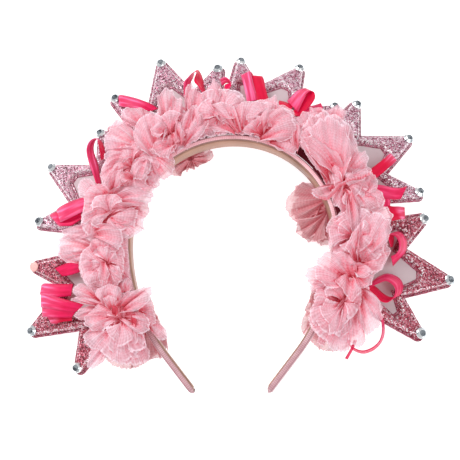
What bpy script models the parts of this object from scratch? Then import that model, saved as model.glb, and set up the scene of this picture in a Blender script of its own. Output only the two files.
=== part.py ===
"""Crown headband: a satin hoop that carries tulle flowers, padded glitter crowns and ribbon bows.

It lies on its back, as it rests on a table: the tips of five crowns touch the floor at z = 0, the
flowers face up, +Y points to the top of the arch and +X to the right. All sizes are in metres.
"""

from collections import namedtuple
from math import acos, atan2, cos, pi, radians, sin, tau

import bmesh
import bpy
from mathutils import Matrix, Vector

# Hoop: the centre line is a half circle, two wider arcs and two straight legs
HOOP_X = -0.0027
HOOP_Y = -0.0183
TOP_RADIUS = 0.061
SIDE_RADIUS = 0.1108
SIDE_ANGLE = radians(38.5)
LEG_LENGTH = 0.0264
TOP_END = TOP_RADIUS * pi / 2
SIDE_END = TOP_END + SIDE_RADIUS * SIDE_ANGLE
LEG_END = SIDE_END + LEG_LENGTH
TOP_STEPS = 10
SIDE_STEPS = 5

# Band section
BAND_WIDTH = 0.012
BAND_THICKNESS = 0.0032
BAND_HEIGHT = 0.027
COVER_WALL = 0.001
TIP_ROUNDING = 0.0045
TIP_SEGMENTS = 3
GAP = 0.0003
BAND_FRONT = BAND_HEIGHT + BAND_WIDTH / 2
BAND_BACK = BAND_HEIGHT - BAND_WIDTH / 2
BAND_FACE = BAND_THICKNESS / 2

# Crown outline, from the band outwards
SIDE_TIP = Vector((0.0344, 0.0529))
MID_TIP = Vector((0.0, 0.0711))
TIP_RADIUS = 0.0044
TIP_STEPS = 4
VALLEY = Vector((0.015, 0.044))
SHOULDER = Vector((0.0315, 0.031))
BASE = Vector((0.024, 0.0125))
TAB_WIDTH = 0.015
WINDOW = ((0.016, 0.021), (0.0255, 0.0365), (0.0235, 0.039), (0.012, 0.0345), (0.0023, 0.051))
RIM_HEIGHT = 0.0014
PAD_HEIGHT = 0.0044
PAD_SLOPE = 0.003
FILM_THICKNESS = 0.001
FILM_LIFT = 0.0002

# Cut stones on the crown tips
STONE_RADIUS = 0.0033
STONE_FACETS = 8
STONE_GIRDLE = 0.0008
STONE_CROWN = 0.0011
STONE_BEZEL = 0.0013
GLUE_RADIUS = 0.003
GLUE_HEIGHT = 0.0008
GLUE_TAPER = 0.8

# Ribbon
RIBBON_WIDTH = 0.006
RIBBON_THICKNESS = 0.001
LOOP_POINTS = 8
LOOP_TAPER = 0.55
LOOP_PEAK = 0.85
INNER_START = 0.2

# Tulle
TULLE_THICKNESS = 0.001
STEPS_PER_WAVE = 4
SQUARENESS = 0.55
SCALLOP = 0.05
MEANDER = 0.56
FLOWER_MARGIN = 0.0007
FRONT_GATHER = 0.009
BACK_GATHER = 0.0
FRONT_HEAD = (0.0072, 0.0090, 0.0105)
BACK_HEAD = (0.0050, 0.0050, 0.008)
HEAD_SIDES = 8
HEAD_RINGS = 4

# How near two points count as one, and how straight a face or an edge points
TOLERANCE = 0.00001
ALIGNED = 0.99

# Each crown: its place along the hoop, and the degrees it leans back and turns in its plane
Crown = namedtuple("Crown", "s lean turn colour")
SILVER_ROSE = (0.80, 0.50, 0.58, 1.0)
DEEP_ROSE = (0.62, 0.27, 0.36, 1.0)
CROWNS = {
    "a": Crown(-0.1153, 17.2, 16.4, DEEP_ROSE),
    "b": Crown(-0.0767, 19.6, -13.6, SILVER_ROSE),
    "c": Crown(-0.0284, 12.5, -11.0, SILVER_ROSE),
    "d": Crown(0.0096, 22.3, -21.2, SILVER_ROSE),
    "e": Crown(0.0608, 23.0, -2.7, SILVER_ROSE),
    "f": Crown(0.1121, 23.0, 2.6, DEEP_ROSE),
}
RAISED_CROWN = "c"
RAISED_HEIGHT = 0.024
BARE_TIP = ("a", 1)

# Each flower: its place along the hoop, and how far it reaches sideways, outwards and inwards
Flower = namedtuple("Flower", "s half_width out inward waves phase")
FRONT_FLOWERS = (
    Flower(-0.1445, 0.0185, 0.032, 0.014, 6, 20),
    Flower(-0.1128, 0.0132, 0.040, 0.009, 5, 75),
    Flower(-0.0863, 0.0133, 0.037, 0.014, 5, 10),
    Flower(-0.0585, 0.0145, 0.034, 0.012, 5, 130),
    Flower(-0.0312, 0.0128, 0.034, 0.008, 5, 40),
    Flower(-0.0052, 0.0132, 0.033, 0.004, 5, 95),
    Flower(0.0212, 0.0132, 0.030, 0.004, 5, 150),
    Flower(0.0477, 0.0133, 0.032, 0.005, 5, 25),
    Flower(0.0739, 0.0129, 0.035, 0.005, 5, 80),
    Flower(0.1006, 0.0138, 0.033, 0.011, 5, 120),
    Flower(0.1360, 0.0216, 0.034, 0.014, 6, 55),
)
BACK_FLOWERS = (
    Flower(-0.1450, 0.0180, 0.034, 0.006, 5, 30),
    Flower(-0.0270, 0.0135, 0.022, 0.0035, 4, 10),
    Flower(0.0770, 0.0190, 0.024, 0.024, 5, 60),
    Flower(0.1370, 0.0190, 0.024, 0.010, 5, 15),
)

# Each ruffle: its neck, its share of the reach, its height at the neck, its rise to the rim and its wave
Ruffle = namedtuple("Ruffle", "neck share height rise wave")
FRONT_RUFFLES = (
    Ruffle(0.0045, 1.0, 0.0355, 0.0040, 0.0045),
    Ruffle(0.0045, 0.76, 0.0385, 0.0095, 0.0045),
)
BACK_RUFFLES = (Ruffle(0.0032, 1.0, 0.0165, -0.0085, 0.0033),)

# Each ribbon piece, in its crown's own plane: u along the band, v outwards
Ribbon = namedtuple("Ribbon", "root_u root_v end_u end_v opening kind lift")
BOWS = {
    "bow_1": ("a", (
        Ribbon(0.003, 0.027, 0.018, 0.050, 0.0036, "lying", 0.0),
        Ribbon(-0.001, 0.029, 0.008, 0.057, 0.0036, "lying", 0.0004),
        Ribbon(-0.007, 0.031, -0.003, 0.054, 0.0036, "lying", 0.0008),
        Ribbon(0.017, 0.021, 0.022, 0.041, 0.0036, "lying", 0.0004),
        Ribbon(0.019, 0.023, -0.008, 0.031, 0.0, "lying_tail", 0.0012),
    )),
    "bow_2": ("b", (
        Ribbon(-0.009, 0.022, -0.026, 0.050, 0.0036, "lying", 0.0),
        Ribbon(-0.012, 0.020, -0.031, 0.040, 0.0036, "lying", 0.0005),
    )),
    "bow_3": ("b", (Ribbon(0.005, 0.026, 0.028, 0.056, 0.009, "standing", 0.0),)),
    "bow_4": ("c", (Ribbon(-0.012, 0.035, -0.031, 0.049, 0.0036, "lying", 0.0),)),
    "bow_5": ("c", (Ribbon(0.017, 0.033, 0.021, 0.056, 0.011, "standing", 0.0),)),
    "bow_6": ("d", (
        Ribbon(-0.012, 0.023, -0.027, 0.043, 0.0036, "lying", 0.0),
        Ribbon(-0.007, 0.027, -0.016, 0.048, 0.0036, "lying", 0.0005),
        Ribbon(-0.009, 0.026, -0.032, 0.025, 0.0, "lying_tail", 0.0012),
        Ribbon(-0.028, 0.023, -0.034, 0.033, 0.0036, "lying", 0.0005),
    )),
    "bow_7": ("d", (
        Ribbon(0.009, 0.027, 0.017, 0.057, 0.011, "standing", 0.0),
        Ribbon(0.013, 0.029, 0.028, 0.049, 0.0, "lying_tail", 0.0006),
    )),
    "bow_8": ("e", (Ribbon(0.012, 0.031, 0.007, 0.052, 0.0036, "lying", 0.0),)),
    "bow_9": ("e", (
        Ribbon(0.022, 0.023, 0.028, 0.047, 0.0036, "lying", 0.0),
        Ribbon(0.026, 0.022, 0.040, 0.034, 0.0036, "lying", 0.0005),
    )),
    "bow_10": ("f", (Ribbon(-0.011, 0.025, -0.015, 0.042, 0.016, "standing", 0.0),)),
    "bow_11": ("f", (Ribbon(0.014, 0.018, 0.011, 0.040, 0.016, "standing", 0.0),)),
}
LOW_BOW = (
    Ribbon(0.0, 0.0001, -0.002, 0.035, 0.016, "standing", 0.0),
    Ribbon(0.001, 0.002, 0.012, 0.023, 0.0, "standing_tail", 0.0005),
)
LOW_BOW_S = 0.1475
LOW_BOW_HEIGHT = 0.024


def hoop(s):
    """Point, tangent and outward normal of the centre line at the length s from the top."""
    side = -1.0 if s < 0 else 1.0
    along = abs(s)
    turn = min(along, TOP_END) / TOP_RADIUS
    point = Vector((TOP_RADIUS * sin(turn), TOP_RADIUS * cos(turn), 0.0))
    if along > TOP_END:
        bend = (min(along, SIDE_END) - TOP_END) / SIDE_RADIUS
        point += SIDE_RADIUS * Vector((cos(bend) - 1.0, -sin(bend), 0.0))
        turn += bend
    tangent = Vector((cos(turn), -sin(turn), 0.0))
    if along > SIDE_END:
        point += tangent * (along - SIDE_END)
    normal = Vector((sin(turn), cos(turn), 0.0))
    point.x *= side
    tangent.y *= side
    normal.x *= side
    return point + Vector((HOOP_X, HOOP_Y, 0.0)), tangent, normal


def on_hoop(s, out, height):
    """World point at the length s, the distance out from the centre line and the height."""
    point, _, normal = hoop(s)
    return point + normal * out + Vector((0.0, 0.0, height))


def stations(end):
    """Lengths along the hoop from -end to end, with one straight facet across its top."""
    half = [TOP_END * (step + 0.5) / TOP_STEPS for step in range(TOP_STEPS)]
    half += [TOP_END + (SIDE_END - TOP_END) * step / SIDE_STEPS for step in range(SIDE_STEPS + 1)]
    half.append(end)
    return [-s for s in reversed(half)] + half


def material(name, colour, roughness, metallic=0.0):
    """Principled material of one finish."""
    finish = bpy.data.materials.new(name)
    finish.use_nodes = True
    shader = finish.node_tree.nodes["Principled BSDF"]
    shader.inputs["Base Color"].default_value = colour
    shader.inputs["Roughness"].default_value = roughness
    shader.inputs["Metallic"].default_value = metallic
    return finish


def collection(name):
    group = bpy.data.collections.new(name)
    bpy.context.scene.collection.children.link(group)
    return group


def add_mesh(name, bm, group, finish=None):
    """New object in the group from a bmesh, which is freed."""
    mesh = bpy.data.meshes.new(name)
    bm.to_mesh(mesh)
    bm.free()
    piece = bpy.data.objects.new(name, mesh)
    group.objects.link(piece)
    if finish:
        mesh.materials.append(finish)
    if group.name == "cutters":
        piece.hide_render = True
        piece.display_type = "WIRE"
    return piece


def slab(outlines, low, high):
    """Bmesh of flat outlines, the first one solid and the next ones holes, between two heights."""
    curve = bpy.data.curves.new("outline", "CURVE")
    curve.dimensions = "2D"
    curve.fill_mode = "BOTH"
    curve.extrude = (high - low) / 2
    for points in outlines:
        spline = curve.splines.new("POLY")
        spline.points.add(len(points) - 1)
        spline.use_cyclic_u = True
        for spot, point in zip(spline.points, points):
            spot.co = (point[0], point[1], 0.0, 1.0)
    shape = bpy.data.objects.new("outline", curve)
    bpy.context.scene.collection.objects.link(shape)
    bpy.context.view_layer.update()
    mesh = bpy.data.meshes.new_from_object(shape.evaluated_get(bpy.context.evaluated_depsgraph_get()))
    bpy.data.objects.remove(shape)
    bm = bmesh.new()
    bm.from_mesh(mesh)
    bpy.data.meshes.remove(mesh)
    bmesh.ops.remove_doubles(bm, verts=bm.verts, dist=0.000001)
    bmesh.ops.translate(bm, verts=bm.verts, vec=(0.0, 0.0, (low + high) / 2))
    bmesh.ops.recalc_face_normals(bm, faces=bm.faces)
    return bm


def join(piece, tool, operation):
    """Boolean of the piece with another closed mesh."""
    modifier = piece.modifiers.new(operation.lower(), "BOOLEAN")
    modifier.object = tool
    modifier.operation = operation
    modifier.solver = "EXACT"


def band(inner, outer, low, high, end, rounding):
    """Bmesh of a strip along the hoop with rounded leg tips."""
    outline = [on_hoop(s, outer, 0.0) for s in stations(end)]
    outline += [on_hoop(s, inner, 0.0) for s in reversed(stations(end))]
    bm = slab([outline], low, high)
    corners = []
    for s in (-end, end):
        point, tangent, normal = hoop(s)
        for edge in bm.edges:
            at_end = all(abs((vert.co - point).dot(tangent)) < TOLERANCE for vert in edge.verts)
            across = edge.verts[1].co - edge.verts[0].co
            if at_end and abs(across.normalized().dot(normal)) > ALIGNED:
                corners.append(edge)
    bmesh.ops.bevel(bm, geom=corners, offset=rounding, segments=TIP_SEGMENTS, profile=0.5, affect="EDGES")
    return bm


def build_band(parts, cutters):
    """Gold lining strip in a satin cover that wraps its outer face and both edges."""
    satin = material("pale pink satin", (0.90, 0.62, 0.66, 1.0), 0.35)
    gold = material("gold beige lining", (0.72, 0.60, 0.42, 1.0), 0.3, 0.4)
    cover_bm = band(-BAND_FACE, BAND_FACE, BAND_BACK, BAND_FRONT, LEG_END, TIP_ROUNDING)
    cover = add_mesh("satin_cover", cover_bm, parts, satin)
    channel_bm = band(-BAND_FACE - COVER_WALL, BAND_FACE - COVER_WALL, BAND_BACK + COVER_WALL,
                      BAND_FRONT - COVER_WALL, LEG_END - COVER_WALL, TIP_ROUNDING - COVER_WALL)
    join(cover, add_mesh("channel", channel_bm, cutters), "DIFFERENCE")
    inset = COVER_WALL + GAP
    lining_bm = band(-BAND_FACE, BAND_FACE - inset, BAND_BACK + inset, BAND_FRONT - inset,
                     LEG_END - inset, TIP_ROUNDING - inset)
    add_mesh("hoop_lining", lining_bm, parts, gold)


def crown_seat(crown, key):
    """World matrix of a crown's plane: u along the band, v outwards, w to the front."""
    point, tangent, normal = hoop(crown.s)
    lean = radians(crown.lean)
    turn = radians(crown.turn)
    along = tangent * cos(turn) + normal * sin(turn)
    level = normal * cos(turn) - tangent * sin(turn)
    out = level * cos(lean) - Vector((0.0, 0.0, sin(lean)))
    height = (MID_TIP.y + TIP_RADIUS) * sin(lean)
    if key == RAISED_CROWN:
        height = RAISED_HEIGHT
    origin = point + normal * BAND_FACE + Vector((0.0, 0.0, height))
    matrix = Matrix((along, out, along.cross(out))).transposed().to_4x4()
    matrix.translation = origin
    return matrix


def tip_arc(centre, before, after):
    """Points round a crown tip, tangent to the edges that come from before and go to after."""
    ends = []
    for corner, side in ((before, -1.0), (after, 1.0)):
        span = corner - centre
        ends.append(atan2(span.y, span.x) - side * acos(TIP_RADIUS / span.length))
    start, stop = ends
    sweep = (stop - start) % tau
    turns = [start + sweep * step / TIP_STEPS for step in range(TIP_STEPS + 1)]
    return [centre + TIP_RADIUS * Vector((cos(turn), sin(turn))) for turn in turns]


def mirrored(points):
    """The points and their mirror images across the middle, as one loop."""
    return [Vector(point) for point in points] + [Vector((-x, y)) for x, y in reversed(points)]


def crown_outline(crown):
    """Three-pointed outline with a tab whose foot runs along the band."""
    lean = radians(crown.lean)
    turn = radians(crown.turn)
    foot = [(u, (GAP - u * sin(turn)) / (cos(lean) * cos(turn))) for u in (-TAB_WIDTH / 2, TAB_WIDTH / 2)]
    right = [Vector((TAB_WIDTH / 2, BASE.y)), BASE, SHOULDER]
    right += tip_arc(SIDE_TIP, SHOULDER, VALLEY) + [VALLEY]
    left = [Vector((-x, y)) for x, y in reversed(right)]
    return foot + right + tip_arc(MID_TIP, VALLEY, left[0]) + left


def build_crown(key, crown, parts):
    """Padded glitter crown, the film in its window and the stones on its tips."""
    seat = bpy.data.objects.new("crown_seat_" + key, None)
    parts.objects.link(seat)
    seat.matrix_world = crown_seat(crown, key)
    glitter = material("glitter " + key, crown.colour, 0.45, 0.3)
    film = material("mauve film " + key, (0.74, 0.55, 0.60, 1.0), 0.3)
    window = mirrored(WINDOW)
    bm = slab([crown_outline(crown), window], 0.0, RIM_HEIGHT)
    face = [face for face in bm.faces if face.normal.z > ALIGNED]
    bmesh.ops.inset_region(bm, faces=face, thickness=PAD_SLOPE, depth=PAD_HEIGHT - RIM_HEIGHT,
                           use_even_offset=True, use_boundary=True)
    add_mesh("crown_" + key, bm, parts, glitter).parent = seat
    pane = slab([inset_loop(window, GAP)], FILM_LIFT, FILM_LIFT + FILM_THICKNESS)
    add_mesh("window_" + key, pane, parts, film).parent = seat
    tips = ((-1, "left", Vector((-SIDE_TIP.x, SIDE_TIP.y))), (0, "middle", MID_TIP), (1, "right", SIDE_TIP))
    for side, word, tip in tips:
        if (key, side) == BARE_TIP:
            piece = build_glue_spot(key, word, parts)
        else:
            piece = build_stone(key, word, parts)
        piece.parent = seat
        piece.location = (tip.x, tip.y, PAD_HEIGHT + GAP)


def inset_loop(points, distance):
    """The loop moved inwards by the distance, corner by corner."""
    moved = []
    for before, point, after in zip(points[-1:] + points[:-1], points, points[1:] + points[:1]):
        first = (point - before).normalized()
        second = (after - point).normalized()
        inward = Vector((-first.y - second.y, first.x + second.x)).normalized()
        moved.append(point + inward * distance / inward.dot(Vector((-first.y, first.x))))
    return moved


def build_stone(key, word, parts):
    """Cut stone with a table, eight facets and a girdle, which stands on its flat back."""
    bm = bmesh.new()
    bmesh.ops.create_cone(bm, cap_ends=True, segments=STONE_FACETS, radius1=STONE_RADIUS,
                          radius2=STONE_RADIUS, depth=STONE_GIRDLE)
    table = [face for face in bm.faces if face.normal.z > ALIGNED]
    bmesh.ops.inset_region(bm, faces=table, thickness=STONE_BEZEL, depth=STONE_CROWN, use_even_offset=True)
    bmesh.ops.translate(bm, verts=bm.verts, vec=(0.0, 0.0, STONE_GIRDLE / 2))
    return add_mesh(f"stone_{key}_{word}", bm, parts, material("cut stone", (0.8, 0.83, 0.86, 1.0), 0.08, 0.6))


def build_glue_spot(key, word, parts):
    """Round salmon spot on the tip that has lost its stone."""
    bm = bmesh.new()
    bmesh.ops.create_cone(bm, cap_ends=True, segments=STONE_FACETS, radius1=GLUE_RADIUS,
                          radius2=GLUE_RADIUS * GLUE_TAPER, depth=GLUE_HEIGHT)
    bmesh.ops.translate(bm, verts=bm.verts, vec=(0.0, 0.0, GLUE_HEIGHT / 2))
    return add_mesh(f"bare_tip_{key}_{word}", bm, parts, material("salmon spot", (0.93, 0.55, 0.53, 1.0), 0.6))


def loop_outline(length, half_opening, start):
    """Teardrop that opens from the start, where the ribbon is held, to a round end."""
    points = []
    for step in range(LOOP_POINTS):
        turn = tau * step / LOOP_POINTS
        along = (1.0 - cos(turn)) / 2
        swell = sin(turn) * (1.0 - LOOP_TAPER * (1.0 - along)) / LOOP_PEAK
        points.append(Vector((start + (length - start) * along, half_opening * swell)))
    return points


def ribbon_piece(ribbon):
    """Bmesh of one loop or tail in its crown's plane."""
    reach = Vector((ribbon.end_u - ribbon.root_u, ribbon.end_v - ribbon.root_v))
    length = reach.length
    half = RIBBON_THICKNESS / 2
    if ribbon.kind.endswith("tail"):
        rise = half
        outlines = [[(0.0, -half), (length, -half), (length, half), (0.0, half)]]
    else:
        rise = ribbon.opening / 2
        outlines = [loop_outline(length, rise, 0.0)]
        inside = rise - RIBBON_THICKNESS
        outlines.append(loop_outline(length - RIBBON_THICKNESS, inside, length * INNER_START))
    bm = slab(outlines, -RIBBON_WIDTH / 2, RIBBON_WIDTH / 2)
    if ribbon.kind.startswith("lying"):
        bmesh.ops.rotate(bm, verts=bm.verts, matrix=Matrix.Rotation(pi / 2, 3, "X"))
    else:
        rise = RIBBON_WIDTH / 2
    bmesh.ops.rotate(bm, verts=bm.verts, matrix=Matrix.Rotation(atan2(reach.y, reach.x), 3, "Z"))
    bmesh.ops.translate(bm, verts=bm.verts, vec=(ribbon.root_u, ribbon.root_v, rise + ribbon.lift))
    return bm


def build_bow(name, ribbons, seat, lift, parts, cutters, finish):
    """Ribbon bow whose loops and tails are joined where they cross."""
    bow = None
    for number, ribbon in enumerate(ribbons):
        bm = ribbon_piece(ribbon)
        bmesh.ops.translate(bm, verts=bm.verts, vec=(0.0, 0.0, lift))
        if bow:
            piece = add_mesh(f"{name}_{number}", bm, cutters)
            join(bow, piece, "UNION")
        else:
            bow = piece = add_mesh(name, bm, parts, finish)
        piece.parent = seat


def squared(share):
    """A share from -1 to 1, pushed towards the ends so that a round rim fills its corners."""
    return abs(share) ** SQUARENESS * (1.0 if share > 0 else -1.0)


def ruffle_mesh(flower, ruffle, gather):
    """Open wavy ring of gathered tulle round the flower's gather point."""
    bm = bmesh.new()
    bmesh.ops.create_grid(bm, x_segments=flower.waves * STEPS_PER_WAVE, y_segments=1, size=0.5)
    reach_side = (flower.half_width - FLOWER_MARGIN) * ruffle.share
    for vert in bm.verts:
        turn = (vert.co.x + 0.5) * tau
        part = vert.co.y + 0.5
        wave = flower.waves * turn + radians(flower.phase)
        angle = turn + MEANDER / flower.waves * part * sin(wave)
        rim = (1.0 - SCALLOP * (1.0 - cos(2 * wave))) * part
        reach_out = (flower.out - gather if sin(angle) > 0 else flower.inward + gather) * ruffle.share
        side = ruffle.neck * cos(angle) * (1.0 - part) + reach_side * squared(cos(angle)) * rim
        out = ruffle.neck * sin(angle) * (1.0 - part) + reach_out * squared(sin(angle)) * rim
        height = ruffle.height + ruffle.rise * part + ruffle.wave * part * cos(wave)
        vert.co = on_hoop(flower.s + side, gather + out, height)
    bmesh.ops.remove_doubles(bm, verts=bm.verts, dist=TOLERANCE)
    bmesh.ops.recalc_face_normals(bm, faces=bm.faces)
    return bm


def head_mesh(flower, gather, size, floor, up):
    """Domed head of the flower, flat where it is glued to the band."""
    bm = bmesh.new()
    bmesh.ops.create_uvsphere(bm, u_segments=HEAD_SIDES, v_segments=HEAD_RINGS, radius=1.0)
    point, tangent, normal = hoop(flower.s)
    for vert in bm.verts:
        rise = max(vert.co.z, 0.0)
        spot = tangent * vert.co.x * size[0] + normal * (gather + vert.co.y * size[1])
        vert.co = point + spot + Vector((0.0, 0.0, floor + up * rise * size[2]))
    bmesh.ops.remove_doubles(bm, verts=bm.verts, dist=TOLERANCE)
    bmesh.ops.recalc_face_normals(bm, faces=bm.faces)
    return bm


def build_flower(name, flower, ruffles, gather, head_bm, parts, cutters, finish):
    """Gathered tulle flower: a head with its ruffles joined to it."""
    head = add_mesh(name, head_bm, parts, finish)
    for number, ruffle in enumerate(ruffles):
        petals = add_mesh(f"{name}_ruffle_{number}", ruffle_mesh(flower, ruffle, gather), cutters)
        thicken = petals.modifiers.new("tulle", "SOLIDIFY")
        thicken.thickness = TULLE_THICKNESS
        thicken.offset = 0.0
        join(head, petals, "UNION")


def build():
    for piece in list(bpy.data.objects):
        bpy.data.objects.remove(piece)
    parts = collection("crown_headband")
    cutters = collection("cutters")
    build_band(parts, cutters)
    for key, crown in CROWNS.items():
        build_crown(key, crown, parts)
    ribbon = material("hot pink satin ribbon", (0.90, 0.06, 0.22, 1.0), 0.3)
    for name, (key, ribbons) in BOWS.items():
        seat = bpy.data.objects["crown_seat_" + key]
        build_bow(name, ribbons, seat, PAD_HEIGHT + GAP, parts, cutters, ribbon)
    low_seat = bpy.data.objects.new("low_bow_seat", None)
    parts.objects.link(low_seat)
    point, tangent, normal = hoop(LOW_BOW_S)
    low_seat.matrix_world = Matrix((tangent, normal, tangent.cross(normal))).transposed().to_4x4()
    low_seat.matrix_world.translation = point + normal * BAND_FACE + Vector((0.0, 0.0, LOW_BOW_HEIGHT))
    build_bow("bow_12", LOW_BOW, low_seat, 0.0, parts, cutters, ribbon)
    tulle = material("pale pink tulle", (0.93, 0.60, 0.63, 1.0), 0.8)
    for number, flower in enumerate(FRONT_FLOWERS, 1):
        head = head_mesh(flower, FRONT_GATHER, FRONT_HEAD, BAND_FRONT + GAP, 1.0)
        build_flower(f"flower_{number}", flower, FRONT_RUFFLES, FRONT_GATHER, head, parts, cutters, tulle)
    for number, flower in enumerate(BACK_FLOWERS, 1):
        head = head_mesh(flower, BACK_GATHER, BACK_HEAD, BAND_BACK - GAP, -1.0)
        build_flower(f"back_flower_{number}", flower, BACK_RUFFLES, BACK_GATHER, head, parts, cutters, tulle)


build()
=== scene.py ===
"""Looks of the crown headband: satin band, tulle flowers, padded glitter crowns, stones and ribbons."""

from collections import namedtuple
from math import acos, atan2, cos, pi, radians, sin, sqrt, tau

import bmesh
import bpy
from mathutils import Matrix, Vector, noise
from mathutils.bvhtree import BVHTree


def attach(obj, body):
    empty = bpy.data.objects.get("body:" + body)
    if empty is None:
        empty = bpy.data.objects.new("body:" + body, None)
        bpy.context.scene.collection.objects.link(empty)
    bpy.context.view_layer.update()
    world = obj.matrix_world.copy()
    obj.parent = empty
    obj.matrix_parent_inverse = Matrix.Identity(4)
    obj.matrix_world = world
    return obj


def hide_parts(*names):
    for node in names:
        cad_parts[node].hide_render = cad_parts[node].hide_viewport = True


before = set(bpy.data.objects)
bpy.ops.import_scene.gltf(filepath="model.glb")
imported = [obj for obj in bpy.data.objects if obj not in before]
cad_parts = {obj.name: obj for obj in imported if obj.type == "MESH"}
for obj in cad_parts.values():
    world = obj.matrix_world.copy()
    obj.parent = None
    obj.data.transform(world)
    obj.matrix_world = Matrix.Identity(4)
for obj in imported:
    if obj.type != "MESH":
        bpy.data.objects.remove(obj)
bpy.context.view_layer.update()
noise.seed_set(7)

# Hoop
HOOP_X = -0.0027
HOOP_Y = -0.0183
TOP_RADIUS = 0.061
SIDE_RADIUS = 0.1108
SIDE_ANGLE = radians(38.5)
LEG_LENGTH = 0.0264
TOP_END = TOP_RADIUS * pi / 2
SIDE_END = TOP_END + SIDE_RADIUS * SIDE_ANGLE
LEG_END = SIDE_END + LEG_LENGTH

# Band
BAND_WIDTH = 0.012
BAND_THICKNESS = 0.0032
BAND_HEIGHT = 0.027
BAND_FACE = BAND_THICKNESS / 2
BAND_STEPS = 240
TIP_ROUNDING = 0.0045
TIP_THINNING = 0.0022
LINING_INSET = 0.0014
GAP = 0.0003

# Satin: width of a rib, which point of the cover's section is its outer front corner, and how many
# threads of the lining lie between two points of its section
RIB_PITCH = 0.0011
OUTER_CORNER = 10
LINING_THREADS = 14

# Crown outline
SIDE_TIP = Vector((0.0344, 0.0529))
MID_TIP = Vector((0.0, 0.0711))
TIPS = {"left": Vector((-SIDE_TIP.x, SIDE_TIP.y)), "middle": MID_TIP, "right": SIDE_TIP}
TIP_RADIUS = 0.0044
TIP_STEPS = 10
VALLEY = Vector((0.015, 0.044))
SHOULDER = Vector((0.0315, 0.031))
BASE = Vector((0.024, 0.0125))
TAB_WIDTH = 0.015
WINDOW = ((0.016, 0.021), (0.0255, 0.0365), (0.0235, 0.039), (0.012, 0.0345), (0.0023, 0.051))
RIM_HEIGHT = 0.0014
PAD_HEIGHT = 0.0044

Crown = namedtuple("Crown", "s lean turn slot")
CROWNS = {
    "a": Crown(-0.1153, 17.2, 16.4, "glitter_rose"),
    "b": Crown(-0.0767, 19.6, -13.6, "glitter_silver"),
    "c": Crown(-0.0284, 12.5, -11.0, "glitter_silver"),
    "d": Crown(0.0096, 22.3, -21.2, "glitter_silver"),
    "e": Crown(0.0608, 23.0, -2.7, "glitter_silver"),
    "f": Crown(0.1121, 23.0, 2.6, "glitter_rose"),
}
RAISED_CROWN = "c"
RAISED_HEIGHT = 0.024
BARE_TIP = ("a", "right")

# Padded profile from the cut edge inwards: distance from the edge and height
PAD_PROFILE = (
    (0.0001, 0.0000), (0.0000, 0.0003), (0.0000, 0.0011), (0.0002, 0.0014), (0.0009, 0.0015),
    (0.0012, 0.0012), (0.0014, 0.0011), (0.0016, 0.0016), (0.0019, 0.0026), (0.0023, 0.0034),
    (0.0028, 0.0040), (0.0033, 0.0043), (0.0036, 0.0044),
)
OUTLINE_STEP = 0.0012
FILM_PROFILE = ((0.0001, 0.0002), (0.0, 0.0005), (0.0001, 0.0008), (0.0008, 0.0009), (0.0025, 0.0011))
FILM_OVERLAP = 0.0004

# Glitter: size of a flake, and the distances from the cut edge at which its tone changes: dark cut edge,
# stitch line, and a painted highlight on the pad's slope and painted shade on its flat top
FLAKE = 0.0006
CUT_EDGE = 0.00055
STITCH_LINE = (0.00105, 0.0015)
PAD_SLOPE = (0.0017, 0.0031)
PAD_TOP = 0.0034

# Stitches
STITCH_INSET = 0.0013
STITCH_STEP = 0.0026
STITCH_LENGTH = 0.0018
STITCH_GIRTH = (0.00042, 0.00045)
SHORTEST_STITCHED = 0.0008

# Stones, with the steps of their facets inwards and up, and the spot of glue
STONE_RADIUS = 0.0033
GIRDLE_HEIGHT = 0.0007
STONE_STEPS = ((0.00045, 0.00045), (0.0009, 0.0007))
FACET = 0.0016
SPOT_RADIUS = 0.003

# Ribbon
RIBBON_WIDTH = 0.0068
RIBBON_THICKNESS = 0.0003
SELVEDGE = 0.0005
THREAD_PITCH = 0.0005
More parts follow.
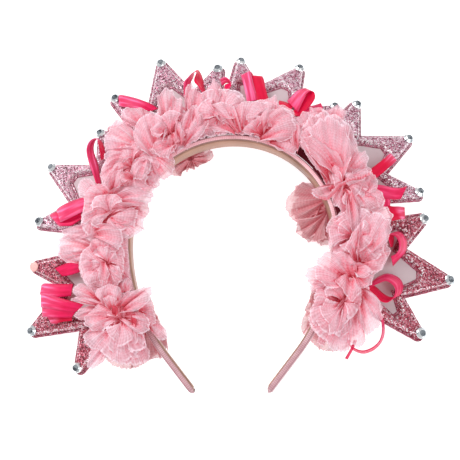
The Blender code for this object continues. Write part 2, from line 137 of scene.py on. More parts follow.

# Each ribbon piece by pixels of the photograph: along it, a point on one edge and its millimetres over
# the crown's plane, the same on the other edge, and how much painted highlight it has there
RIBBONS = {
    "bow_1": ("a", (
        ((73, 284, 6.3, 71, 296, 6.3, 0), (60, 284, 8.7, 60, 297, 8.7, 0),
         (50, 283.5, 9.1, 50, 296.5, 9.1, 0.7), (44, 283.5, 8.3, 42, 295, 8.3, 1),
         (41.5, 285.5, 7.1, 40, 294.5, 7.1, 0.6), (44, 285, 5.4, 43, 295, 5.4, 0),
         (62, 286, 5.4, 61, 297, 5.4, 0)),
        ((84, 304.5, 6.7, 76, 312, 6.7, 0), (68, 300, 9.3, 64, 311, 9.3, 0),
         (54, 296, 9.9, 52, 309, 9.9, 0.5), (45, 293.5, 9.1, 43.5, 307.5, 9.1, 1),
         (41, 294, 7.7, 40.8, 307, 7.7, 0.5), (45, 295, 5.9, 44, 308, 5.9, 0),
         (62, 302, 5.7, 60, 311, 5.7, 0)),
        ((78, 308, 6.1, 72, 317.5, 6.1, 0), (64, 306, 8.5, 60, 317.5, 8.5, 0),
         (52, 304, 9.2, 50, 317.5, 9.2, 0.5), (46, 303.5, 8.3, 44, 317, 8.3, 1),
         (42, 304, 6.9, 42.5, 316, 6.9, 0.5), (46, 305, 5.3, 46, 317, 5.3, 0),
         (62, 307, 5.2, 60, 317, 5.2, 0)),
        ((72, 321, 5.3, 72, 313, 5.3, 0), (62, 322, 6.3, 60, 313, 6.3, 0),
         (55, 323.8, 7.1, 52, 314, 7.1, 0.7), (51, 323, 6.3, 47, 316, 6.3, 1),
         (54, 322, 5.1, 52, 316, 5.1, 0), (64, 321, 5.1, 64, 314, 5.1, 0)),
        ((81, 260.5, 6.5, 80, 272, 6.5, 0.1), (70, 262, 6.3, 71, 275, 6.3, 0),
         (62, 265, 5.7, 66, 276, 5.7, 0), (55, 268.5, 5.2, 62.5, 276.3, 5.2, 0)),
    )),
    "bow_2": ("b", (
        ((86, 196.5, 6.7, 89, 209, 6.7, 0.5), (76, 199.5, 8.9, 80, 213, 8.9, 0.5),
         (66, 203.5, 9.3, 70, 218, 9.3, 0.5), (59, 207.5, 8.3, 62.5, 221.5, 8.3, 0.9),
         (56.8, 210, 6.9, 60.5, 222, 6.9, 0.8), (62, 208, 5.5, 66, 220, 5.5, 0),
         (78, 202, 5.5, 81, 213, 5.5, 0)),
        ((80, 212, 5.5, 84, 217, 5.5, 0), (66, 214, 6.3, 72, 225, 6.3, 0),
         (57, 212, 6.9, 63, 226, 6.9, 0.1), (51.5, 214, 6.3, 60.5, 226.5, 6.3, 0.6),
         (50.3, 215.5, 5.5, 59.5, 226, 5.5, 0.7), (60, 215, 5, 66, 224, 5, 0)),
    )),
    "bow_3": ("b", (
        ((102, 188, 5.2, 97, 188, 9.7, 0), (100, 175, 5.2, 94, 177, 10.2, 0.1),
         (98, 164, 5.3, 89.5, 165, 10.9, 0.8), (94, 152, 5.3, 86.5, 152, 11.3, 0.6),
         (94, 145, 5.3, 87.8, 144, 11.3, 0.7), (96, 140, 5.2, 92, 139.3, 11.1, 0.8),
         (98.5, 139.3, 5.2, 97, 138.5, 10.7, 0.8), (102, 142, 6.2, 98.5, 144, 10.3, 0),
         (104.5, 149, 6.1, 100, 151, 10.1, 0), (105.5, 159, 6, 101, 160, 9.7, 0)),
    )),
    "bow_4": ("c", (
        ((158, 108.5, 6.3, 150, 111.5, 6.3, 0), (150, 103.5, 7.7, 144, 110, 7.7, 0),
         (138, 98.8, 8.9, 136, 108.5, 8.9, 0.7), (127, 95.8, 8.9, 127, 107.5, 8.9, 0.7),
         (121, 95, 7.7, 120.5, 106.2, 7.7, 0.5), (119, 96, 6.5, 119.5, 105.5, 6.5, 0.5),
         (124, 97, 5.3, 124, 107, 5.3, 0), (140, 101, 5.2, 138, 109.5, 5.2, 0)),
    )),
    "bow_5": ("c", (
        ((191, 96, 5.3, 184, 96, 9.7, 0.1), (191, 83, 5.3, 184, 83, 10.3, 0.3),
         (193, 78, 5.3, 188, 77.5, 10.7, 0.6), (195, 71.5, 5.2, 193, 72.5, 10.7, 0.5),
         (198, 70, 5.2, 196.5, 72.5, 10.5, 0.1), (201, 74, 5.1, 194.5, 78, 10.3, 0),
         (203, 80, 5.1, 194.5, 82, 10.1, 0), (204, 87, 5.1, 199, 87, 9.9, 0),
         (206, 93, 5, 203, 93, 9.7, 0)),
    )),
    "bow_6": ("d", (
        ((222, 86, 5.1, 220, 79, 9.3, 0.8), (226, 83, 5.2, 225, 77, 9.7, 0.7),
         (230, 83, 5.2, 229, 79.5, 9.5, 0.5), (228, 83.5, 5.1, 231, 84, 9.3, 0),
         (225, 85, 5.1, 230, 88, 9.1, 0), (224, 89, 5, 226.5, 92, 8.9, 0)),
        ((258, 100, 6.3, 247, 102, 6.3, 0.5), (254, 86, 8.1, 244.5, 89, 8.1, 0.8),
         (251, 73, 8.5, 241.5, 77, 8.5, 0.8), (250, 71.2, 7.3, 241, 75.5, 7.3, 0.7),
         (253, 75, 5.5, 244, 78, 5.5, 0), (257, 90, 5.4, 248, 92, 5.4, 0)),
        ((258, 102, 6.3, 269, 101, 6.3, 0), (254, 88, 7.7, 265.5, 88, 7.7, 0),
         (252, 77, 7.7, 263, 78, 7.7, 0), (251, 75.5, 6.9, 262.5, 76.5, 6.9, 0.7),
         (254, 79, 5.4, 264, 80, 5.4, 0.1), (256, 90, 5.4, 266, 90, 5.4, 0)),
    )),
    "bow_7": ("d", (
        ((298, 112, 9.3, 287, 101, 5.5, 0.3), (301, 105, 9.7, 292, 96, 5.4, 0.5),
         (304, 99, 10.1, 297, 91, 5.3, 0.6), (306.5, 93.5, 10.3, 303, 88.7, 5.3, 0.5),
         (311, 91, 10.3, 306.5, 88.6, 5.9, 0.2), (314.5, 93, 10.1, 307, 91, 6.3, 0),
         (315, 98, 9.9, 305, 96, 6.7, 0), (311.5, 104, 9.7, 301, 101, 6.7, 0),
         (306, 110, 9.5, 297, 107, 6.3, 0), (298, 116.5, 9.1, 290, 114, 5.7, 0)),
        ((300, 118.5, 6.3, 294, 112, 6.3, 0), (307, 115, 5.9, 303, 108.5, 5.9, 0.3),
         (315, 112, 5.6, 312, 106, 5.6, 0.8), (323, 109, 5.3, 321, 103, 5.3, 0.3)),
        ((279, 100.5, 5.7, 277, 112, 5.7, 0), (285, 102, 5.7, 283, 113.5, 5.7, 0),
         (293, 105, 5.9, 290, 116, 5.9, 0)),
    )),
    "bow_8": ("e", (
        ((364, 173, 6.5, 372, 181, 6.5, 0), (371, 168.5, 7.3, 379, 176, 7.3, 0),
         (381, 161, 8.3, 388, 168.5, 8.3, 0), (388, 155, 8.3, 395, 162.5, 8.3, 0.8),
         (390.5, 153.4, 7.1, 397, 160.5, 7.1, 0.8), (388, 156.5, 5.4, 394, 163, 5.4, 0),
         (376, 166, 5.3, 383, 173, 5.3, 0)),
    )),
    "bow_9": ("e", (
        ((371, 197, 6.5, 372, 185, 6.5, 0.1), (382, 197.5, 6.9, 381, 185, 6.9, 0.2),
         (392, 199.5, 6.5, 392, 187.5, 6.5, 0.2), (397, 199.5, 5.9, 400, 188, 5.9, 0.1),
         (401, 199, 5.4, 407, 186.2, 5.4, 0)),
        ((373.5, 192, 6.3, 386, 190, 6.3, 0.1), (377.5, 199.5, 6.3, 390, 198, 6.3, 0.3),
         (381, 207.5, 5.7, 390, 207, 5.7, 0.1)),
        ((384, 204, 5.2, 392, 221, 5.2, 0), (392, 206.2, 6.5, 399, 219.5, 6.5, 0),
         (399, 206.5, 7.5, 403, 219.5, 7.5, 0.9), (404.5, 207.5, 6.7, 405, 219, 6.7, 0.2),
         (399, 208, 5.3, 402, 219, 5.3, 0), (386, 207, 5.2, 392, 216, 5.2, 0)),
    )),
    "bow_10": ("f", (
        ((393, 266, 5.2, 391, 256, 9.7, 0.1), (400, 258.5, 5.2, 396, 254, 10.1, 0.1),
         (405, 253, 5.2, 399, 249, 10.3, 0.4), (407, 245, 5.2, 399, 243, 10.5, 0.2),
         (405, 237, 5.2, 397, 238, 10.3, 0.3), (400, 232, 5.2, 394, 235.5, 10.1, 0.2),
         (394, 232.3, 5.2, 389.5, 234, 9.9, 0.2), (394, 236.5, 5.2, 387, 235, 9.7, 0),
         (393.5, 241.5, 5.1, 389, 241, 9.5, 0), (392.5, 247, 5.1, 391, 247, 9.3, 0)),
    )),
    "bow_11": ("f", (
        ((368, 288.5, 9.9, 372, 282, 5.2, 0), (377, 284, 10.1, 378, 277, 5.2, 0.3),
         (386, 281, 10.3, 388, 273.8, 5.2, 0.3), (393, 285, 10.3, 399, 278, 5.2, 0.3),
         (395.5, 291, 10.1, 403, 286, 5.2, 0.3), (393, 298, 9.9, 400, 295, 5.2, 0.1),
         (387, 302.5, 9.7, 391, 297, 5.2, 0), (380, 300.5, 9.5, 384, 294, 5.2, 0),
         (374, 294.5, 9.5, 377, 288, 5.1, 0), (367.5, 288.5, 9.5, 373.5, 285, 5.1, 0)),
    )),
    "bow_12": ("low", (
        ((378, 312, 4, 381, 312, -2.4, 0), (381.5, 322, 4, 384, 322, -2.4, 0.2),
         (382, 333, 4, 384.5, 334, -2.4, 0.5), (378.5, 342, 4, 380.5, 343.5, -2.4, 0.3),
         (371, 348, 4, 373, 350.5, -2.4, 0), (362, 350.5, 4, 363, 353.5, -2.4, 0),
         (353, 347, 4, 353, 350, -2.4, 0), (346, 338, 4, 347, 341, -2.4, 0)),
        ((354, 340, 1.5, 357, 340, -1, 0), (351, 348, 1.5, 353.5, 348.5, -1, 0.3),
         (345, 358.5, 1.5, 347.5, 359.5, -1, 0)),
    )),
}
LOW_BOW_S = 0.1475
LOW_BOW_HEIGHT = 0.024

# Flowers
Flower = namedtuple("Flower", "s half_width out inward seed")
FRONT_FLOWERS = (
    Flower(-0.1445, 0.0175, 0.027, -0.002, 1),
    Flower(-0.1128, 0.0132, 0.029, 0.001, 2),
    Flower(-0.0863, 0.0133, 0.028, 0.010, 3),
    Flower(-0.0585, 0.0145, 0.029, 0.008, 4),
    Flower(-0.0312, 0.0128, 0.029, 0.002, 5),
    Flower(-0.0052, 0.0132, 0.029, -0.0030, 6),
    Flower(0.0212, 0.0132, 0.025, -0.0030, 7),
    Flower(0.0477, 0.0133, 0.027, -0.0050, 8),
    Flower(0.0739, 0.0129, 0.026, -0.0020, 9),
    Flower(0.1006, 0.0138, 0.029, 0.006, 10),
    Flower(0.1360, 0.0200, 0.023, 0.009, 11),
)
BACK_FLOWERS = (
    Flower(-0.1450, 0.0180, 0.034, 0.006, 21),
    Flower(-0.0270, 0.0135, 0.022, 0.0035, 22),
    Flower(0.0770, 0.0190, 0.024, 0.024, 23),
    Flower(0.1370, 0.0190, 0.024, 0.010, 24),
)
SPREAD = 1.12
SQUARENESS = 2.6
GATHERS_START = -0.150
GATHERS_END = 0.146
GATHERS_WIDTH = 0.0085
GATHERS_HEIGHT = 0.0322

# Each ring of petals: how many, their share of the reach, their heights at the gather, halfway and
# at the rim, half their width in degrees, their folds and how deep these are
Ring = namedtuple("Ring", "petals share low middle high width folds depth")
FRONT_RINGS = (
    Ring(6, 1.00, 0.0345, 0.0385, 0.0360, 46, 2.5, 0.0016),
    Ring(5, 0.86, 0.0352, 0.0415, 0.0385, 46, 2.0, 0.0018),
    Ring(4, 0.62, 0.0360, 0.0440, 0.0420, 52, 1.6, 0.0018),
)
BACK_RINGS = (
    Ring(6, 1.00, 0.0175, 0.0105, 0.0085, 42, 2.2, 0.0026),
    Ring(5, 0.82, 0.0170, 0.0070, 0.0065, 42, 1.8, 0.0022),
    Ring(3, 0.50, 0.0165, 0.0060, 0.0055, 55, 1.4, 0.0016),
)
TULLE_LAYERS = ("spread", "rim", "fold", "tone", "shade")
FRONT_ROOM = (0.0337, 0.0526)
BACK_ROOM = (0.0045, 0.0175)
FRONT_GATHER = 0.009
BACK_GATHER = 0.0

# Net: size of its mesh and of its specks
MESH_WIDTH = 0.00125
MESH_HEIGHT = 0.00145
SPECK = 0.0007

# Petals
ROOT_OVERLAP = 0.0025
FOLD_WIDTH = 0.0070
FOLD_HEIGHT = 0.0019
RIPPLE_HEIGHT = 0.0010
PLEAT_HEIGHT = 0.0004
CRUMPLE_HEIGHT = 0.0008
SIDE_DROP = 0.0012
RIM_DROP = 0.0009
HOLLOW_REACH = 0.008

# Large petals on top, by pixels of the photograph: the gathered root, the heights in millimetres at
# the root, halfway and at the rim, and points along the rim. Then how wide the root is beside the
# rim, how strong the pleats are and how shaded the petal is.
Petal = namedtuple("Petal", "root heights rim gather pleats shade", defaults=(0.2, 1.0, 0.0))
PETALS = {
    "flower_1": (
        Petal((129, 328), (36, 38, 36),
              ((143, 341), (149, 350), (149, 361), (138, 365), (128, 364), (122, 352))),
        Petal((122, 326), (36.5, 39, 37),
              ((132, 352), (131, 364), (120, 365), (111, 361), (109, 350), (112, 340))),
        Petal((113, 336), (35.5, 36.5, 34.5),
              ((108, 352), (103, 362), (93, 369), (87, 366), (88, 355), (92, 345))),
        Petal((138, 311), (36.5, 38, 36),
              ((149, 313), (158, 321), (167, 331), (165, 341), (157, 339), (147, 326))),
        Petal((138, 312), (37, 40, 38.5), ((144, 302), (151, 300), (154, 312), (156, 323), (149, 327))),
        Petal((118, 322), (37.5, 41, 39),
              ((112, 350), (98, 351), (88, 347), (82, 338), (86, 330), (95, 326))),
        Petal((119, 317), (38, 43, 41), ((130, 322), (128, 335), (122, 344), (116, 340), (113, 330))),
        Petal((117, 317), (38.5, 44.5, 43),
              ((104, 329), (92, 331), (83, 325), (84, 317), (90, 310), (99, 304))),
        Petal((119, 316), (38.5, 45.5, 44),
              ((136, 311), (144, 313), (150, 322), (149, 330), (138, 334), (131, 322))),
        Petal((116, 313), (39, 48, 50),
              ((118, 300), (127, 291), (140, 288), (153, 286), (150, 299), (139, 309), (124, 312))),
        Petal((108, 311), (37, 39, 37.5), ((92, 318), (79, 320), (73, 315), (80, 308), (90, 304))),
        Petal((112, 310), (38, 42, 40.5), ((95, 306), (80, 303), (70, 300), (74, 296), (90, 297))),
        Petal((101, 301), (37, 42, 41), ((76, 296), (71, 291), (74, 285), (82, 283), (91, 288), (96, 295))),
        Petal((113, 310), (39.5, 47.5, 47),
              ((102, 302), (94, 294), (96, 287), (108, 283), (119, 286), (121, 296))),
        Petal((114, 311), (41, 49.5, 50), ((104, 306), (103, 299), (108, 294), (115, 295), (117, 301))),
        Petal((114, 316), (44, 47.5, 47.5),
              ((112, 308), (113, 305), (117, 306), (118, 311), (117, 316)), gather=0.4, pleats=0.5,
               shade=1),
        Petal((134, 327), (44, 46.5, 46.5),
              ((130, 322), (131, 314), (135, 312), (137, 317), (136, 325)), gather=0.4, pleats=0.5,
               shade=1),
        Petal((124, 294), (37, 38.5, 37),
              ((117, 286), (121, 279), (127, 277), (131, 281), (131, 290)), gather=0.4, pleats=0.7),
    ),
    "flower_2": (
        Petal((98, 250), (36, 39, 36.5),
              ((86, 262), (72, 262), (60, 258), (56, 250), (58, 240), (66, 234), (80, 234))),
        Petal((107, 230), (37, 41.5, 39),
              ((92, 238), (76, 241), (61, 238), (62, 229), (78, 225), (92, 222))),
        Petal((99, 256), (38, 44, 43),
              ((88, 247), (92, 238), (105, 235), (116, 236), (120, 246), (116, 252))),
        Petal((101, 259), (38, 42.5, 41),
              ((112, 248), (121, 252), (124, 266), (121, 280), (113, 283), (107, 272))),
        Petal((100, 266), (39, 46, 45), ((98, 280), (88, 284), (82, 278), (79, 265), (84, 259), (93, 258))),
        Petal((103, 259), (40, 47.5, 47), ((99, 268), (99, 281), (106, 283), (110, 272))),
        Petal((108, 272), (38, 43, 42), ((118, 280), (117, 290), (104, 290), (92, 284), (90, 278))),
        Petal((116, 256), (36, 36.5, 35),
              ((121, 233), (127, 238), (128, 252), (129, 266), (130, 279), (124, 283)), gather=0.5,
               pleats=0.5),
        Petal((80, 262), (36, 38, 36), ((66, 263), (58, 254), (60, 246), (70, 244))),
    ),
    "flower_3": (
        Petal((111, 203), (37, 44, 42),
              ((96, 206), (83, 204), (83, 195), (89, 186), (98, 183), (108, 184), (112, 192))),
        Petal((118, 208), (38, 45.5, 44),
              ((105, 218), (92, 226), (81, 222), (82, 213), (90, 206), (104, 202))),
        Petal((109, 202), (38, 44, 42.5),
              ((112, 190), (120, 185), (135, 185), (148, 191), (153, 200), (143, 205), (122, 206))),
        Petal((102, 220), (38.5, 43, 41),
              ((112, 211), (126, 206), (138, 209), (137, 218), (129, 226), (114, 225))),
        Petal((92, 234), (39.5, 46, 45.5),
              ((102, 222), (112, 224), (122, 230), (122, 242), (118, 250), (108, 238))),
        Petal((120, 207), (36, 38, 36),
              ((135, 203), (148, 202), (150, 210), (142, 220), (130, 227), (124, 216))),
        Petal((119, 228), (36, 36.5, 35),
              ((126, 214), (129, 222), (127, 236), (121, 243)), gather=0.5, pleats=0.5),
        Petal((106, 204), (35, 36, 34.5), ((97, 184), (90, 178), (82, 178), (77, 186), (79, 196))),
    ),
    "flower_4": (
        Petal((140, 147), (37, 43, 40),
              ((122, 151), (104, 150), (102, 137), (110, 127), (124, 122), (134, 130))),
        Petal((138, 154), (38, 44, 42.5), ((124, 163), (108, 166), (103, 158), (106, 150), (122, 148))),
        Petal((126, 160), (38, 45, 44), ((122, 174), (114, 184), (101, 184), (100, 172), (106, 163))),
        Petal((112, 194), (38, 42, 40),
              ((114, 184), (125, 180), (142, 181), (155, 187), (150, 197), (130, 193))),
        Petal((147, 158), (39, 46, 45), ((133, 160), (130, 170), (134, 179), (143, 179), (148, 170))),
        Petal((112, 194), (39.5, 47, 47), ((108, 184), (112, 172), (122, 168), (124, 178), (118, 188))),
        Petal((134, 179), (41, 49, 50), ((124, 183), (119, 178), (121, 172), (127, 171), (133, 173))),
        Petal((146, 162), (37.5, 40, 38), ((142, 176), (148, 188), (158, 188), (160, 176), (154, 165))),
        Petal((112, 136), (36, 39, 37), ((107, 126), (116, 120), (128, 120), (134, 128))),
    ),
    "flower_5": (
        Petal((150, 132), (36, 41, 38),
              ((134, 128), (121, 118), (121, 108), (134, 106), (148, 109), (155, 118))),
        Petal((178, 142), (37, 42, 39.5),
              ((166, 130), (162, 112), (163, 99), (172, 95), (182, 99), (184, 115), (182, 130))),
        Petal((157, 155), (38.5, 46, 45.5),
              ((140, 150), (133, 138), (135, 124), (145, 113), (157, 111), (166, 120), (167, 133))),
        Petal((168, 134), (42, 49, 49.5), ((160, 137), (151, 134), (150, 127), (157, 122), (165, 125))),
        Petal((152, 156), (37, 40, 37.5), ((172, 150), (175, 162), (171, 176), (160, 180), (150, 172))),
        Petal((176, 142), (39.5, 45, 44), ((168, 158), (158, 156), (150, 148), (155, 140), (166, 134))),
        Petal((180, 144), (41, 47, 46), ((175, 132), (175, 118), (182, 124), (185, 134))),
        Petal((168, 130), (38, 43, 41), ((158, 112), (157, 96), (163, 88), (173, 88), (176, 104))),
        Petal((188, 116), (37, 41, 39), ((184, 100), (185, 86), (191, 82), (197, 88), (197, 102))),
    ),
    "flower_6": (
        Petal((183, 145), (38.5, 46, 45),
              ((184, 125), (186, 110), (196, 104), (203, 116), (209, 122), (203, 134), (194, 141))),
        Petal((194, 125), (43, 48.5, 49.5), ((191, 115), (192, 108), (197, 106), (201, 114), (200, 122))),
        Petal((196, 118), (37, 42, 39),
              ((186, 108), (184, 95), (190, 88), (200, 90), (210, 97), (208, 108))),
        Petal((222, 108), (36, 40, 37), ((208, 100), (206, 88), (213, 78), (220, 84), (230, 100))),
        Petal((236, 133), (38, 43, 42), ((213, 131), (205, 122), (201, 110), (208, 102), (218, 103))),
        Petal((240, 133), (39, 45, 44), ((222, 120), (212, 104), (222, 101), (233, 103))),
        Petal((241, 132), (38.5, 44, 43),
              ((233, 120), (230, 107), (240, 102), (256, 100), (270, 104), (265, 112), (250, 125))),
        Petal((200, 116), (37, 40, 36), ((181, 149), (190, 142), (202, 138), (214, 135), (224, 131))),
        Petal((232, 116), (37, 40, 36), ((212, 135), (226, 134), (240, 134), (252, 136))),
    ),
    "flower_7": (
        Petal((262, 134), (40, 47, 47),
              ((252, 134), (242, 131), (244, 126), (256, 117), (268, 109), (270, 118), (264, 128))),
        Petal((257, 138), (38.5, 45.5, 45),
              ((262, 122), (270, 108), (282, 106), (292, 112), (297, 125), (293, 136), (278, 141))),
        Petal((275, 120), (36.5, 41, 38.5),
              ((262, 108), (264, 99), (276, 95), (280, 104), (292, 108), (296, 116))),
        Petal((268, 143), (37.5, 41, 40),
              ((280, 141), (293, 137), (299, 145), (297, 153), (288, 152), (278, 149))),
        Petal((296, 152), (38, 43, 43.5), ((290, 140), (291, 126), (298, 120), (302, 132), (300, 146))),
        Petal((272, 124), (37, 40, 36), ((248, 135), (260, 138), (274, 143), (287, 150), (299, 158))),
        Petal((285, 128), (36.5, 39, 37), ((296, 122), (303, 124), (304, 134), (298, 142))),
    ),
    "flower_9": (
        Petal((350, 184), (36, 37, 36),
              ((333, 181), (322, 185), (313, 188), (311, 193), (320, 198), (334, 197), (346, 190))),
        Petal((340, 182), (39, 45, 44), ((352, 176), (366, 168), (372, 171), (362, 180), (350, 186))),
        Petal((358, 200), (36.5, 40, 38),
              ((352, 186), (362, 178), (372, 172), (378, 178), (377, 192), (378, 202))),
        Petal((352, 190), (37.5, 41, 39.5), ((358, 208), (372, 210), (380, 206), (378, 198), (366, 192))),
        Petal((350, 188), (38, 43, 42), ((340, 188), (332, 196), (334, 205), (343, 212), (352, 205))),
        Petal((339, 189), (43, 48, 46),
              ((311, 189), (317, 195), (325, 197), (332, 191), (338, 184), (346, 180), (358, 176),
               (371, 170)), gather=1, pleats=0.3),
        Petal((334, 192), (38, 40, 39),
              ((328, 188), (332, 184), (338, 186), (342, 190), (336, 196)), gather=0.5, pleats=0.5,
               shade=0.9),
        Petal((348, 190), (39, 46, 45),
              ((346, 205), (348, 222), (352, 232), (360, 222), (358, 205), (354, 192))),
        Petal((352, 205), (37, 40, 38), ((342, 212), (341, 228), (344, 245), (350, 240), (352, 225))),
        Petal((354, 192), (36.5, 39, 37),
              ((372, 184), (381, 190), (386, 199), (383, 210), (374, 215)), gather=0.3, pleats=0.8),
    ),
    "flower_10": (
        Petal((358, 262), (38, 46, 45),
              ((352, 240), (356, 225), (366, 214), (380, 212), (392, 222), (390, 238), (378, 250))),
        Petal((357, 262), (39, 48, 49), ((345, 248), (350, 236), (360, 222), (358, 240), (356, 252))),
        Petal((357, 263), (38, 43, 42),
              ((360, 250), (374, 243), (384, 247), (387, 258), (382, 269), (372, 272))),
        Petal((364, 224), (36, 38, 36.5),
              ((370, 208), (379, 203), (388, 207), (394, 216), (388, 225)), gather=0.3, pleats=0.8),
        Petal((370, 260), (36.5, 39, 37),
              ((379, 245), (387, 244), (391, 252), (386, 262), (380, 270), (372, 276))),
    ),
    "flower_8": (
        Petal((312, 136), (36.5, 39, 37),
              ((298, 130), (295, 119), (302, 112), (313, 109), (321, 115)), gather=0.3, pleats=0.6),
        Petal((348, 178), (36.5, 38.5, 37), ((350, 164), (360, 160), (372, 168), (370, 178))),
        Petal((334, 180), (37, 41, 39),
              ((338, 124), (350, 124), (356, 138), (359, 152), (364, 168)), gather=0.35, pleats=0.45),
        Petal((332, 181), (37.5, 43, 41),
              ((300, 143), (298, 131), (303, 122), (315, 112), (328, 110), (341, 116), (351, 126)),
               gather=0.25, pleats=0.3),
        Petal((331, 181), (38, 44.5, 43),
              ((317, 169), (307, 156), (300, 143), (299, 132), (306, 128), (316, 144)), gather=0.3,
               pleats=0.35),
        Petal((334, 178), (38.5, 46, 46),
              ((308, 130), (318, 119), (332, 115), (344, 124), (350, 140), (352, 158)), gather=0.35,
               pleats=0.3),
        Petal((339, 174), (39.5, 47.5, 47),
              ((320, 165), (309, 152), (305, 140), (311, 133), (324, 142), (336, 150)), gather=0.4,
               pleats=0.3),
        Petal((344, 174), (37.5, 41.5, 40),
              ((346, 152), (352, 146), (358, 152), (366, 150), (370, 158), (364, 170)), gather=0.3,
               pleats=0.8),
        Petal((328, 120), (36.5, 38, 36.5),
              ((312, 118), (309, 108), (316, 106), (326, 110), (338, 104), (347, 110), (344, 120)),
               gather=0.5, pleats=0.8),
    ),
    "flower_11": (
        Petal((352, 283), (39, 48, 47),
              ((330, 290), (316, 278), (314, 264), (322, 254), (335, 250), (348, 252), (356, 262))),
        Petal((335, 280), (37, 41, 39), ((322, 288), (310, 284), (305, 276), (308, 268), (316, 264))),
        Petal((338, 282), (36.5, 39, 36.5), ((326, 298), (314, 292), (309, 287), (315, 280), (328, 278))),
        Petal((352, 269), (42, 50, 51),
              ((350, 264), (358, 262), (370, 266), (374, 272), (366, 277), (356, 277))),
        Petal((351, 271), (41, 45, 45), ((354, 267), (364, 267), (369, 272), (362, 276), (355, 275))),
        Petal((353, 275), (40, 46, 46), ((366, 277), (374, 275), (372, 284), (364, 288), (357, 286))),
        Petal((352, 275), (40, 48, 48.5), ((360, 284), (361, 292), (352, 302), (342, 290), (335, 280))),
        Petal((358, 290), (38.5, 44, 42.5),
              ((354, 308), (360, 325), (366, 336), (376, 330), (383, 318), (380, 300), (368, 292))),
        Petal((362, 290), (37.5, 41, 39), ((374, 304), (381, 312), (383, 306), (377, 297), (369, 290))),
        Petal((346, 300), (39, 45, 44),
              ((348, 315), (344, 328), (336, 335), (329, 333), (328, 322), (334, 310))),
        Petal((345, 296), (38, 42, 41),
              ((332, 305), (322, 312), (317, 318), (322, 322), (332, 316), (340, 308))),
        Petal((345, 305), (37, 40.5, 38),
              ((328, 325), (326, 342), (332, 350), (342, 352), (350, 348), (352, 330))),
        Petal((352, 300), (37.5, 41.5, 39.5), ((348, 330), (350, 345), (360, 350), (366, 340), (366, 325))),
        Petal((332, 322), (35, 36, 34.5), ((321, 324), (317, 343), (324, 346), (327, 335))),
    ),
    "back_flower_3": (
        Petal((324, 199), (15, 11, 8),
              ((303, 180), (295, 188), (286, 199), (286, 211), (293, 220), (304, 224), (310, 214))),
        Petal((323, 202), (14, 9.5, 6.5),
              ((309, 218), (306, 230), (311, 239), (321, 240), (331, 240), (335, 232))),
        Petal((322, 197), (14.5, 10, 7), ((312, 182), (303, 181), (296, 186), (292, 196))),
    ),
}

# Camera of the photograph, with the picture's middle in pixels and a pixel's size where it aims
CAMERA_TILT = radians(16.5)
CAMERA_SWING = radians(4.4)
CAMERA_AIM = Vector((HOOP_X, HOOP_Y + 0.0024, 0.033))
CAMERA_DISTANCE = 0.420
CAMERA_LENS = 56.67
TOWARDS = Vector((
    sin(CAMERA_SWING) * cos(CAMERA_TILT), -sin(CAMERA_TILT), cos(CAMERA_SWING) * cos(CAMERA_TILT)
))
RIGHT = Vector((0.0, 1.0, 0.0)).cross(TOWARDS).normalized()
UP = TOWARDS.cross(RIGHT)
CAMERA_PLACE = CAMERA_AIM + TOWARDS * CAMERA_DISTANCE
PHOTO_MIDDLE = 230
PIXEL = 0.00058

# Lights: place, size and power of each
WORLD_STRENGTH = 0.66
LIGHTS = {
    "key": ((-0.50, 0.40, 0.80), 0.5, 5.9),
    "fill": ((0.45, -0.45, 0.7), 0.7, 2.3),
}

BLACK = (0.0, 0.0, 0.0, 1)


class Value:
    """A shader socket that Python's operators combine."""

    def __init__(self, finish, socket):
        self.finish = finish
        self.socket = socket

    def maths(self, operation, *values):
        return self.finish.node("Math", {"operation": operation}, dict(enumerate(values)))

    def __add__(self, other):
        return self.maths("ADD", self, other)

    def __sub__(self, other):
        return self.maths("SUBTRACT", self, other)

    def __rsub__(self, other):
        return self.maths("SUBTRACT", other, self)

    def __mul__(self, other):
        return self.maths("MULTIPLY", self, other)

    def __pow__(self, other):
        return self.maths("POWER", self, other)

    def __gt__(self, other):
        return self.maths("GREATER_THAN", self, other)

    def __lt__(self, other):
        return self.maths("LESS_THAN", self, other)

    def __abs__(self):
        return self.maths("ABSOLUTE", self)

    __radd__ = __add__
    __rmul__ = __mul__

    def between(self, low, high):
        return (self > low) * (self < high)

    def wave(self, pitch):
        """Sine between -1 and 1 that repeats at the pitch."""
        return self.maths("SINE", self * (tau / pitch))

    def share(self, start, stop):
        """How far the value is from the start to the stop, from 0 to 1."""
        return self.finish.node("MapRange", {}, {"Value": self, "From Min": start, "From Max": stop})


